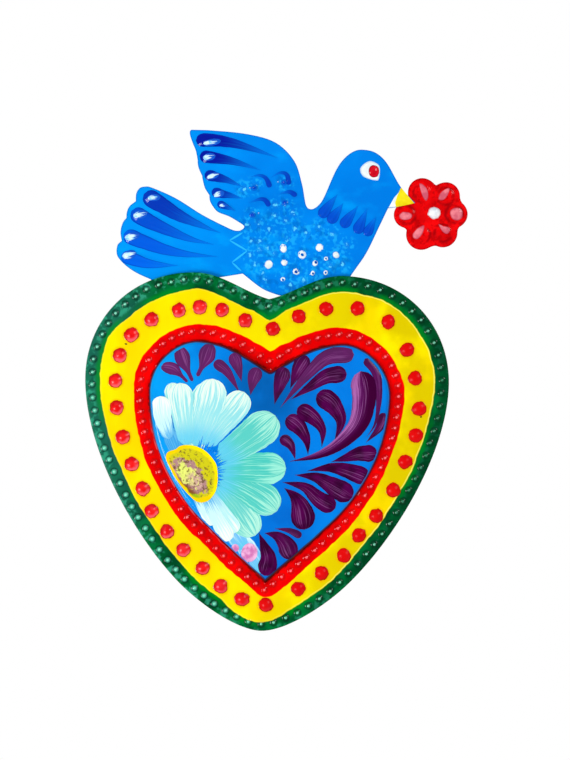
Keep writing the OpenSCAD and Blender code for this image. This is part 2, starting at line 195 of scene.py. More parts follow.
WING_TOP = [(-41, 84), (-33, 84), (-13, 82.5), (1.5, 78.5), (11, 69.5), (15, 58.5), (16.5, 51.3),
            (17.3, 47.8),
            (18.4, 46.1), (19.8, 45.6)]
HEAD = [(19.8, 45.6), (21.4, 46), (23.8, 47.9), (26.4, 52), (32, 65.5), (36.5, 72), (41.5, 75.5), (46.5, 76),
        (52, 74.5), (57.5, 69.5), (64.5, 58), (72, 50)]
BREAST = [(58.5, 47), (54, 37), (48, 24), (40, 11.5), (38, 4.5)]
BELLY = [(8.5, 1.5), (3.5, 2.5), (-4, 5.5), (-13.5, 12.5)]
TAIL_FLAP = [(-13.5, 12.5), (-27, 10), (-27.5, 5), (-56.5, 3)]
TAIL_1 = [(-59.5, 8.5), (-66.5, 11.5), (-72, 15), (-76, 19), (-77, 22), (-76.5, 25.5), (-74.5, 27.5)]
TAIL_2 = [(-74.5, 27.5), (-75.2, 31), (-75, 34), (-74, 37), (-72.5, 39)]
TAIL_3 = [(-72.5, 39), (-72.3, 42), (-71, 45), (-68, 47.5)]
TAIL_4 = [(-68, 47.5), (-67.8, 51.5), (-66, 54.3), (-63.5, 55)]
TAIL_TOP = [(-63.5, 55), (-60, 54.5), (-48, 49.5), (-34.5, 41.5), (-22, 35.5), (-18, 34), (-15.5, 34)]
SLIT = [(-15.5, 34), (-13.7, 35.2), (-13.6, 36.6), (-16.5, 38.5), (-21, 41), (-26.5, 43), (-29, 45.5),
        (-30.8, 48.5),
        (-31.2, 51.5)]
WING_1 = [(-31.2, 51.5), (-33.5, 55), (-34.8, 59.5), (-35, 61)]
WING_2 = [(-35, 61), (-36.5, 64), (-37.3, 66.5), (-37.5, 69)]
WING_3 = [(-37.5, 69), (-38.5, 73.5), (-40, 77), (-41.5, 81), (-41.7, 83), (-41, 84)]

# Flutes run from their broad end to their tip; the third number is half their width.
FEATHERS = [((-34.5, 78), (.5, 72), 3), ((-32, 70), (-7, 65.5), 3), ((-30.5, 61), (-15.5, 56.5), 2.6),
            ((-27, 52.5), (-15.5, 50), 2.2), ((-24, 46.5), (-17.5, 44), 1.8), ((-60, 49.5), (-28, 33.5), 3.6),
            ((-65.5, 40.5), (-28.5, 27), 3.6), ((-69.5, 29.2), (-28.5, 21), 3.4), ((-70.5, 20.5),
            (-49, 15.5), 2.8)]
DROPS = [((25.5, 43), (33, 53.5), 1.6), ((30, 40.3), (36, 49), 1.6), ((36.5, 38.3), (43.5, 48), 1.6),
         ((43.5, 35.5), (48, 46.5), 1.6), ((48.3, 34.2), (52.5, 42.5), 1.4)]
BIG_BUMP, EYE = (-1, 17.5), (50.5, 65.5)
BUMPS = [(6.5, 25.5), (16, 22.5), (24.5, 26.5), (33, 23), (28, 21), (7, 18.5), (22.5, 18.5), (13, 14),
         (21.5, 13.5),
         (28, 14), (6.5, 10), (-8.5, 56.5), (6.5, 59), (7, 48.5), (-9, 42.5)]
SMALL = [(-9.5, 29), (-5.5, 29), (-1.5, 25.5), (-5.5, 24.5), (-1, 35), (7.5, 39.5), (12, 35.5), (18, 33.5),
         (-7.5, 17.5), (-4, 13.5), (-10, 22), (2, 23), (11, 43.5), (38, 28), (36.5, 18.5), (30.5, 17.5),
         (8.5, 30),
         (17, 10), (10.5, 7.5), (-2.5, 9.5), (-12, 37), (-6, 38), (1.5, 42), (31, 33.5), (24, 36.5),
         (-14, 55),
         (2, 47.5)]


def up_notch(points):
    return np.array(points, float) + [0, NOTCH]


def joined(*runs):
    return [point for run in runs for point in smooth_run(run)]


dove_line = up_notch(joined(WING_TOP, HEAD) + [(72, 50), (62, 47.5)] + joined(BREAST)
                     + [(38, 4.5), (15.5, -3), (9.5, -1.5)] + joined(BELLY) + TAIL_FLAP
                     + joined(TAIL_1, TAIL_2, TAIL_3, TAIL_4, TAIL_TOP, SLIT, WING_1, WING_2, WING_3))
dove_line[:, 1] = np.minimum(dove_line[:, 1], 91)
flower_mid = up_notch([(81.49, 45.4)])[0]
PETALS = [(-6, 10, 7.2), (6, 8.5, 6.9), (10.2, -.5, 6.8), (4.8, -10, 7.3), (-6, -11.2, 7.6),
          (-13.5, -1.5, 6.5)]
petal_mids = np.array([flower_mid + (x, z) for x, z, _ in PETALS])


# Heights of the pressed sheets, towards the front

def pressed(marks, d, h, shake, vary):
    """Round marks pressed by hand: their places, radii and heights."""
    places = np.array([(x + rng.uniform(-shake, shake), z + rng.uniform(-shake, shake)) for x, z in marks])
    radii = np.array([d / 2 * (1 + rng.uniform(-vary, vary)) for _ in marks])
    return places, radii, np.array([h * (1 + rng.uniform(-vary, vary) * 1.5) for _ in marks])


edge_beads = pressed(EDGE_BEADS, d=3.0, h=0.95, shake=0.22, vary=0.08)
ring_beads = pressed(RING_BEADS, d=2.8, h=1.0, shake=0.2, vary=0.08)
bosses = pressed(BOSSES, d=7.2, h=1.8, shake=0.35, vary=0.05)
dove_bumps = pressed(up_notch(BUMPS), d=3.2, h=0.85, shake=0.15, vary=0.08)
small_bumps = pressed(up_notch(SMALL), d=2.4, h=0.65, shake=0.2, vary=0.15)
big_bump = pressed(up_notch([BIG_BUMP]), d=5, h=0.8, shake=0, vary=0)
bird_eye = pressed(up_notch([EYE]), d=4.6, h=0.7, shake=0, vary=0)


def marks_height(points, marks):
    near, which = to_marks(points, marks[0])
    return marks[2][which] * soft_cap(near / marks[1][which])


def plate_height(points):
    relief = sum(marks_height(points, m) for m in (edge_beads, ring_beads, bosses))
    calm = np.clip(to_line(points, plate_fine) / 8, 0, 1)
    return relief + calm * (0.28 * waves(points, 17, 3.1) + 0.1 * waves(points, 7, 8.7))


puffed_mid = np.array([PUFFED_SHIFT, TIP + PUFFED_UP + 0.58 * PUFFED_H])
from_mid = puffed_fine - puffed_mid
puffed_angles, puffed_radii = np.arctan2(from_mid[:, 1], from_mid[:, 0]), np.linalg.norm(from_mid, axis=1)
order = np.argsort(puffed_angles)
PUFFED_ROUND = 0.43 * PUFFED_W


def ring_radius(angle, s):
    """Radius of the crown's ring at share s of the outline: the rings get rounder towards the middle."""
    known, turn = puffed_angles[order], 2 * np.pi
    around = np.concatenate([known - turn, known, known + turn])
    full = np.interp(angle, around, np.tile(puffed_radii[order], 3))
    return s * (PUFFED_ROUND * (1 - s) + full * s)


def crown(s):
    rise = WALL_H + CROWN_H * (1 - np.clip(s / WALL_SHARE, 0, 1) ** 2)
    side = WALL_H * np.clip((1 - s) / 0.035, 0, 1) ** 0.45
    return np.where(s < WALL_SHARE, rise, side)


def puffed_share(points):
    """The share of the crown's ring that each point lies on."""
    v = points - puffed_mid
    angle, r = np.arctan2(v[:, 1], v[:, 0]), np.linalg.norm(v, axis=1)
    low, high = np.zeros(len(points)), np.ones(len(points)) * 1.2
    for _ in range(30):
        mid = (low + high) / 2
        above = ring_radius(angle, mid) > r
        high, low = np.where(above, mid, high), np.where(above, low, mid)
    return (low + high) / 2


def puffed_height(points):
    return crown(puffed_share(points)) + 0.12 * waves(points, 26, 5.5)


def flute_height(points, a, b, half_w, h):
    """A drop-shaped ridge that is widest and highest at a and runs out at b."""
    way = b - a
    length = np.linalg.norm(way)
    way /= length
    v = points - a
    t = v @ way
    d = np.abs(v @ np.array([-way[1], way[0]]))
    taper = np.clip(1 - t / length, 0.02, 1)
    q = np.where(t > 0, d / (half_w * taper ** 0.8), np.sqrt(t * t + d * d) / half_w)
    fade = np.clip((length + 1 - t) / 3, 0, 1)
    return h * np.where(t > 0, taper ** 0.8, 1) * soft_cap(q) * fade


CREASE = [(-14, 33), (-20.5, 29), (-11.5, 24), (-19, 18), (-14, 13.5)]
ARCS = [[(-.8, 56), (-3, 60.5), (-6.5, 62), (-11, 61)], [(8.6, 57.5), (7.5, 62.5), (4, 63.5), (-.5, 61)],
        [(12.5, 52), (9, 54), (4, 53)], [(-1, 46.5), (-3, 49.5), (-6, 50), (-11.5, 48)]]


def dove_height(points):
    high = np.zeros(len(points))
    for flutes, h in ((FEATHERS, 1.15), (DROPS, 0.9)):
        for a, b, w in flutes:
            high = np.maximum(high, flute_height(points, *up_notch([a, b]), w, h))
    high += sum(marks_height(points, m) for m in (dove_bumps, small_bumps, big_bump, bird_eye))
    for line, h, w in [(CREASE, 0.4, 0.8)] + [(arc, 0.35, 1.0) for arc in ARCS]:
        high += h * np.exp(-(to_line(points, up_notch(line), False) / w) ** 2)
    return high + 0.3 * waves(points, 30, 2.2) + 0.1 * waves(points, 9, 4.4)


def flower_height(points):
    cups = (petal_mids, np.full(6, 4.9), np.full(6, 1.1))
    eye = (flower_mid[None, :], np.array([3.3]), np.array([1.5]))
    return marks_height(points, cups) + marks_height(points, eye) + 0.08 * waves(points, 9, 6.1)


# Meshes

def in_scene(name, data):
    obj = bpy.data.objects.new(name, data)
    bpy.context.scene.collection.objects.link(obj)
    return obj


def put_object(name, verts, faces):
    mesh = bpy.data.meshes.new(name)
    mesh.from_pydata([(x * MM, y * MM, z * MM) for x, y, z in verts], [], faces)
    mesh.update()
    mesh.polygons.foreach_set("use_smooth", [True] * len(mesh.polygons))
    return in_scene(name, mesh)


def set_values(obj, **values):
    for name, value in values.items():
        layer = obj.data.attributes.new(name, "FLOAT", "POINT")
        layer.data.foreach_set("value", np.asarray(value, np.float32))


def thicken(obj, thickness, back=1):
    """Give a skin its thickness. With back = 1 its back and its edge take the second material."""
    for _ in range(2 * back):
        obj.data.materials.append(None)
    shell = obj.modifiers.new("thickness", "SOLIDIFY")
    shell.thickness, shell.offset = thickness * MM, -1
    shell.material_offset = shell.material_offset_rim = back
    bpy.ops.object.select_all(action="DESELECT")
    bpy.context.view_layer.objects.active = obj
    obj.select_set(True)
    bpy.ops.object.modifier_apply(modifier=shell.name)
    bpy.ops.object.shade_smooth_by_angle(angle=math.radians(50))
    obj.select_set(False)


def filler(line, step, margin, marks):
    """A loose grid of points inside an outline, away from its edge and from the marks."""
    low, high = line.min(0), line.max(0)
    up, pts = step * 0.866, []
    for j in range(int((high[1] - low[1]) / up) + 2):
        for i in range(int((high[0] - low[0]) / step) + 2):
            pts.append((low[0] + (i + 0.5 * (j % 2)) * step + rng.uniform(-.12, .12) * step,
                        low[1] + j * up + rng.uniform(-.12, .12) * step))
    pts = np.array(pts)
    pts = pts[inside(pts, line)]
    pts = pts[to_line(pts, line) > margin]
    for places, radii, _ in marks:
        near, which = to_marks(pts, places)
        pts = pts[near > radii[which] * 1.45]
    return pts


def rings_at(marks, sides, shares=(0, .25, .5, .72, .88, 1, 1.13, 1.3)):
    pts = []
    for (x, z), r in zip(marks[0], marks[1]):
        for k, share in enumerate(shares):
            n = 1 if share == 0 else max(6, int(sides * min(1, share + 0.2)))
            for i in range(n):
                a = 2 * math.pi * (i + 0.5 * (k % 2)) / n
                pts.append((x + r * share * math.cos(a), z + r * share * math.sin(a)))
    return np.array(pts)


def flat_faces(line, inner):
    """Triangles between the points inside an outline, at most one point in each cell of 0.2 mm.

    The last value says where the outline's points went."""
    inner = inner[inside(inner, line)]
    inner = inner[to_line(inner, line) > 0.12]
    one_each = {}
    for x, z in inner:
        one_each.setdefault((round(x * 5), round(z * 5)), (x, z))
    pts = np.vstack([line, list(one_each.values())])
    n = len(line)
    edges = [(i, (i + 1) % n) for i in range(n)]
    out = geometry.delaunay_2d_cdt([Vector(p) for p in pts], edges, [], 1, 1e-6)
    flat = np.array([(v.x, v.y) for v in out[0]])
    first = {o: i for i, source in enumerate(out[3]) for o in source if o < n}
    faces = []
    for a, b, c in out[2]:
        u, v = flat[b] - flat[a], flat[c] - flat[a]
        faces.append((a, b, c) if u[0] * v[1] - u[1] * v[0] > 0 else (a, c, b))
    return flat, faces, [first[i] for i in range(n)]


def pressed_sheet(name, line, inner, height, front, fold=0.0, rim_back=None):
    """A thin sheet cut to an outline and pressed from behind, its edge turned back where it has a rim."""
    face_line = inset(line, fold) if fold else line
    flat, faces, loop = flat_faces(face_line, inner)
    depth = front - height(flat)
    if fold:
        depth[loop] = front
    verts = [(x, y, z) for (x, z), y in zip(flat, depth)]
    plane = list(flat)
    if fold:
        last, n = loop, len(loop)
        out = face_line - inset(face_line, 1)
        turns = [math.radians(a) for a in (22.5, 45, 67.5, 90)]
        steps = [(fold * math.sin(a), front + fold * (1 - math.cos(a))) for a in turns]
        for reach, y in steps + [(fold, (front + rim_back) / 2), (fold, rim_back)]:
            row = face_line + out * reach
            start = len(verts)
            verts += [(x, y, z) for x, z in row]
            plane += list(row)
            faces += [(last[i], last[(i + 1) % n], start + (i + 1) % n, start + i) for i in range(n)]
            last = range(start, start + n)
    return put_object(name, verts, faces), np.array(plane)


plate_marks = (edge_beads, ring_beads, bosses)
plate_inner = np.vstack([rings_at(edge_beads, 16), rings_at(ring_beads, 16),
                         rings_at(bosses, 30, (0, .18, .36, .54, .7, .82, .92, 1, 1.1, 1.25)),
                         filler(plate_fine, 1.9, 1.2, plate_marks), inset(plate_fine, 1.1)])
heart_sheet, plane = pressed_sheet("heart_sheet", plate_fine, plate_inner, plate_height, PLATE_FRONT,
                                   fold=0.7, rim_back=RIM_BACK)
set_values(heart_sheet, edge_mm=to_line(plane, plate_fine), heart_mm=to_line(plane, puffed_fine),
           boss_mm=to_marks(plane, bosses[0])[0],
           bead_mm=to_marks(plane, np.vstack([edge_beads[0], ring_beads[0]]))[0])

dove_sheet, plane = pressed_sheet("dove_sheet", dove_line, filler(dove_line, 1.0, 0.5, ()), dove_height,
                                  DOVE_FRONT)
set_values(dove_sheet, bump_mm=to_marks(plane, up_notch(BUMPS + SMALL + [BIG_BUMP]))[0],
           edge_mm=to_line(plane, dove_line))


def flower_outline():
    line = []
    for k in range(240):
        a = -2 * math.pi * k / 240
        way = np.array([math.cos(a), math.sin(a)])
        reach = [12, 0]
        for m, (_, _, r) in zip(petal_mids - flower_mid, PETALS):
            along = m @ way
            off = r * r - (m @ m - along * along)
            if off > 0:
                reach.append(along + math.sqrt(off))
        second, far = sorted(reach)[-2:]
        line.append(flower_mid + way * (far + max(4.5 - (far - second), 0) ** 2 / 18))
    return np.array(line)


flower_line = flower_outline()
flower_sheet, plane = pressed_sheet("flower_sheet", flower_line, filler(flower_line, 0.8, 0.4, ()),
                                    flower_height, FLOWER_FRONT)
set_values(flower_sheet, edge_mm=to_line(plane, flower_line), dip_mm=to_marks(plane, petal_mids)[0])


def puffed_sheet():
    """The puffed heart: rings from its foot over the steep side to the middle."""
    n, angle = len(puffed_fine), puffed_angles
    shares = [1, .9955, .991, .986, .980, .974, .968, .960, .95] + list(np.linspace(.93, .03, 46))
    verts, plane = [], []
    for s in shares:
        r = ring_radius(angle, np.full(n, s))
        row = puffed_mid + np.stack([np.cos(angle) * r, np.sin(angle) * r], 1)
        high = crown(np.full(n, s)) + (0.12 * waves(row, 26, 5.5) if s < .98 else 0)
        verts += [(x, PLATE_FRONT - h, z) for (x, z), h in zip(row, high)]
        plane += list(row)
    verts.append((puffed_mid[0], PLATE_FRONT - puffed_height(puffed_mid[None, :])[0], puffed_mid[1]))
    plane.append(puffed_mid)
    last = (len(shares) - 1) * n
    faces = [(k + i, k + n + i, k + n + (i + 1) % n, k + (i + 1) % n)
             for k in range(0, last, n) for i in range(n)]
    faces += [(last + i, len(verts) - 1, last + (i + 1) % n) for i in range(n)]
    return put_object("puffed_sheet", verts, faces), np.array(plane)


puffed_sheet_obj, plane = puffed_sheet()
set_values(puffed_sheet_obj, edge_mm=to_line(plane, puffed_fine))

for sheet in (heart_sheet, dove_sheet, flower_sheet, puffed_sheet_obj):
    thicken(sheet, SHEET)


# Strokes of paint

def round_head(u, share):
    return np.sqrt(np.clip(1 - (1 - np.clip(u / share, 0, 1)) ** 2, 0, 1))


def tail_share(u, share):
    return np.clip((u - share) / (1 - share), 0, 1)


def comma(u, share):
    """Width along a comma stroke: a round end, then a long taper."""
    return round_head(u, share) * (1 - tail_share(u, share) ** 1.35) ** 1.1


def brush(u, share):
    """Width along a broad stroke that stays wide and ends softly."""
    soft_end = np.clip((1 - u) / 0.1, 0, 1) ** 0.5
    return round_head(u, share) * (1 - 0.42 * tail_share(u, share) ** 1.3) * soft_end


def paddle(u, _):
    """Width along a stroke with a broad round head and a thin tail."""
    v = tail_share(u, 0.34)
    narrow = 0.34 * (1 + np.cos(math.pi * np.clip(v / 0.7, 0, 1))) + 0.32 * (1 - 0.3 * v)
    return round_head(u, 0.34) * narrow * np.clip((1 - u) / 0.04, 0, 1) ** 0.5


def lens(u, _):
    """Width along a short stroke that is round at both ends."""
    return np.sqrt(np.clip(1 - (2 * u - 1) ** 2, 0, 1))


def ring_faces(rings, n):
    """Faces between rings of n points each, which lie one inside the other, and one middle point."""
    last = (rings - 1) * n
    faces = [(k + i, k + (i + 1) % n, k + n + (i + 1) % n, k + n + i)
             for k in range(0, last, n) for i in range(n)]
    return faces + [(last + i, last + (i + 1) % n, last + n) for i in range(n)]


class Paint:
    """Thin skins of paint on a sheet, gathered into one piece."""

    THIN = 0.02  # the least width of a stroke, as a share of its full width
    SKIN = 0.14
    UV_SIZE = 0.1  # for each millimetre

    def __init__(self, name, height, front):
        self.name, self.height, self.front = name, height, front
        self.verts, self.faces, self.uv = [], [], []
        self.values = {"along": [], "across": [], "tone": []}

    def add(self, flat, faces, lift, uv, along, across, tone):
        start = len(self.verts)
        if self.height is puffed_height:
            over = np.clip(puffed_share(flat) / 0.972, 1, None)[:, None]
            flat = puffed_mid + (flat - puffed_mid) / over ** 1.3
        y = self.front - self.height(flat) - lift
        self.verts += [(x, d, z) for (x, z), d in zip(flat, y)]
        self.faces += [tuple(start + i for i in f) for f in faces]
        self.uv += list(uv * self.UV_SIZE)
        for name, values in (("along", along), ("across", across), ("tone", [tone] * len(flat))):
            self.values[name] += list(values)

    def stroke(self, points, width, shape=comma, lift=0.07, tone=0.0, cells=8, round_share=None):
        """One pull of the brush along the points, which are given from the notch."""
        line = np.array(smooth_run(points, 12) + [points[-1]], float) + [0, NOTCH]
        run = run_along(line)
        length = run[-1]
        u = np.concatenate([np.linspace(0, 0.08, 5)[:-1], np.linspace(0.08, 1, max(8, int(length / 0.7)))])
        mid = at_run(line, run, u * length)
        way = np.gradient(mid, axis=0)
        way /= np.linalg.norm(way, axis=1)[:, None]
        side = np.stack([-way[:, 1], way[:, 0]], 1)
        share = round_share or min(0.5, 0.55 * width / length)
        seed = rng.uniform(0, 90)
        half = width / 2 * np.maximum(shape(u, share), self.THIN)
        low, high = (np.array([[1 + 0.05 * noise.noise(Vector((a * length / 2.5, seed, k)))] for a in u])
                     for k in (0, 9))
        v = np.tile(2 * np.arange(cells + 1) / cells - 1, (len(u), 1))
        reach = half[:, None] * v * np.where(v > 0, high, low)
        flat = (mid[:, None] + side[:, None] * reach[..., None]).reshape(-1, 2)
        along, across = np.repeat(u, cells + 1), v.ravel()
        uv = np.stack([along * length + seed, across * width / 2 + seed], 1)
        row = cells + 1
        faces = [(a, a + row, a + row + 1, a + 1)
                 for i in range(len(u) - 1) for a in range(i * row, i * row + cells)]
        self.add(flat, faces, lift, uv, along, across, tone)

    def blob(self, outline, lift=0.07, tone=0.0, rings=7, smooth=True, wobble=0.0):
        """A patch of paint: its outline, anticlockwise, drawn in ring by ring to its middle."""
        points = list(outline) + [outline[0]]
        line = np.array(smooth_run(points, 5) if smooth else points[:-1], float) + [0, NOTCH]
        mid = line.mean(0)
        seed = rng.uniform(0, 90)
        if wobble:
            turns = np.arctan2(*(line - mid).T)
            line = mid + (line - mid) * np.array(
                [[1 + wobble * noise.noise(Vector((math.cos(t) * 2, math.sin(t) * 2, seed)))] for t in turns])
        shares = 1 - np.arange(rings) / rings
        flat = np.vstack([mid + (line - mid) * s for s in shares] + [mid])
        along = np.append(np.repeat(shares, len(line)), 0)
        self.add(flat, ring_faces(rings, len(line)), lift, flat + seed, along, along, tone)

    def disc(self, mid, w, h, turn=0.0, **more):
        c, s = math.cos(math.radians(turn)), math.sin(math.radians(turn))
        around = [(w / 2 * math.cos(math.pi * k / 6), h / 2 * math.sin(math.pi * k / 6)) for k in range(12)]
        self.blob([(mid[0] + x * c - z * s, mid[1] + x * s + z * c) for x, z in around], **more)

    def build(self, material, body="ornament"):
        obj = put_object(self.name, self.verts, self.faces)
        layer = obj.data.uv_layers.new(name="Strokes")
        loops = np.empty(len(obj.data.loops), np.int32)
        obj.data.loops.foreach_get("vertex_index", loops)
        layer.data.foreach_set("uv", np.array(self.uv, np.float32)[loops].ravel())
        set_values(obj, **self.values)
        thicken(obj, self.SKIN, 0)
        obj.data.materials.append(material)
        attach(obj, body)


# Materials

def rgb(colour):
    """A colour given in the usual 0-255 values, for a shader."""
    shares = [c / 255 for c in colour]
    return (*[c / 12.92 if c <= 0.04045 else ((c + 0.055) / 1.055) ** 2.4 for c in shares], 1)


def link(tree, value, socket):
    value = getattr(value, "socket", value)
    if isinstance(value, bpy.types.NodeSocket):
        tree.links.new(value, socket)
    else:
        socket.default_value = value


def node(tree, kind, inputs=(), **settings):
    n = tree.nodes.new("ShaderNode" + kind)
    for name, value in settings.items():
        setattr(n, name, value)
    for key, value in dict(inputs).items():
        link(tree, value, n.inputs[key])
    return n


class Value:
    """A number in a material, with the usual arithmetic."""

    def __init__(self, graph, socket):
        self.graph, self.socket = graph, socket

    def __add__(self, other):
        return self.graph.math("ADD", self, other)

    def __sub__(self, other):
        return self.graph.math("SUBTRACT", self, other)

    def __rsub__(self, other):
        return self.graph.math("SUBTRACT", other, self)

    def __mul__(self, other):
        return self.graph.math("MULTIPLY", self, other)

    def ramp(self, low, high, to_low=0.0, to_high=1.0):
        ends = {"From Min": low, "From Max": high, "To Min": to_low, "To Max": to_high}
        return self.graph.value("MapRange", "Result", {"Value": self, **ends},
                                interpolation_type="SMOOTHSTEP")


class Graph:
    """The nodes of one material. Places are in metres and the sheets' distances in millimetres."""

    def __init__(self, name, roughness=0.3, coat=0.4, coat_roughness=0.08, metallic=0.0):
        self.material = bpy.data.materials.new(name)
        self.material.use_nodes = True
        self.tree = self.material.node_tree
        self.shader = self.tree.nodes["Principled BSDF"]
        for socket, value in (("Roughness", roughness), ("Metallic", metallic), ("Coat Weight", coat),
                              ("Coat Roughness", coat_roughness), ("Specular IOR Level", 0)):
            self.shader.inputs[socket].default_value = value
        self.place = node(self.tree, "TexCoord").outputs["Object"]

    def value(self, kind, output, inputs=(), **settings):
        return Value(self, node(self.tree, kind, inputs, **settings).outputs[output])

    def math(self, kind, a, b=0.0):
        return self.value("Math", 0, {0: a, 1: b}, operation=kind)

    def most(self, value, *others):
        for other in others:
            value = self.math("MAXIMUM", value, other)
        return value

    def attribute(self, name):
        return self.value("Attribute", "Fac", attribute_name=name)

    def axis(self, name):
        return self.value("SeparateXYZ", name, {0: self.place})

    def strokes(self):
        return node(self.tree, "UVMap", uv_map="Strokes").outputs[0]

    def scaled(self, vector, size, place=(0, 0, 0)):
        return node(self.tree, "Mapping", {"Vector": vector, "Scale": size, "Location": place}).outputs[0]

    def noise(self, scale, detail=3.0, vector=None, roughness=0.5):
        return self.value("TexNoise", "Fac", {"Scale": scale, "Detail": detail, "Roughness": roughness,
                                              "Vector": self.place if vector is None else vector})

    def hairs(self, along, across):
        """Fine lengthwise lines as from bristles; both sizes are lines per millimetre."""
        return self.noise(1, 3, self.scaled(self.strokes(), (along * 10, across * 10, 1)), 0.6)

    def facing(self, way):
        """How much the sheet faces one way: +1 straight at it, -1 straight away from it."""
        normal = node(self.tree, "NewGeometry").outputs["Normal"]
        return self.value("VectorMath", "Value", {0: normal, 1: way}, operation="DOT_PRODUCT")

    def near(self, x, z, far, close):
        """1 near a place on the front and 0 far from it."""
        front = self.scaled(self.place, (1, 0, 1))
        off = self.value("VectorMath", "Value", {0: front, 1: (x, 0, z)}, operation="DISTANCE")
        return off.ramp(far, close)

    def wobble(self, value, *waves_):
        """A distance made uneven, as by a hand-held brush."""
        for scale, size in waves_:
            value = value + (self.noise(scale, 2) - 0.5) * size
        return value

    def mix(self, factor, a, b):
        a, b = (rgb(c) if isinstance(c, tuple) else c for c in (a, b))
        return node(self.tree, "Mix", {"Factor": factor, 6: a, 7: b}, data_type="RGBA").outputs[2]

    def coats(self, colour, *layers):
        """Colours laid over the first one, each where its factor says."""
        for factor, paint in layers:
            colour = self.mix(factor, colour, paint)
        return colour

    def done(self, colour, height, depth):
        bump = node(self.tree, "Bump", {"Distance": depth, "Height": height})
        link(self.tree, bump.outputs[0], self.shader.inputs["Normal"])
        link(self.tree, colour, self.shader.inputs["Base Color"])
        return self.material


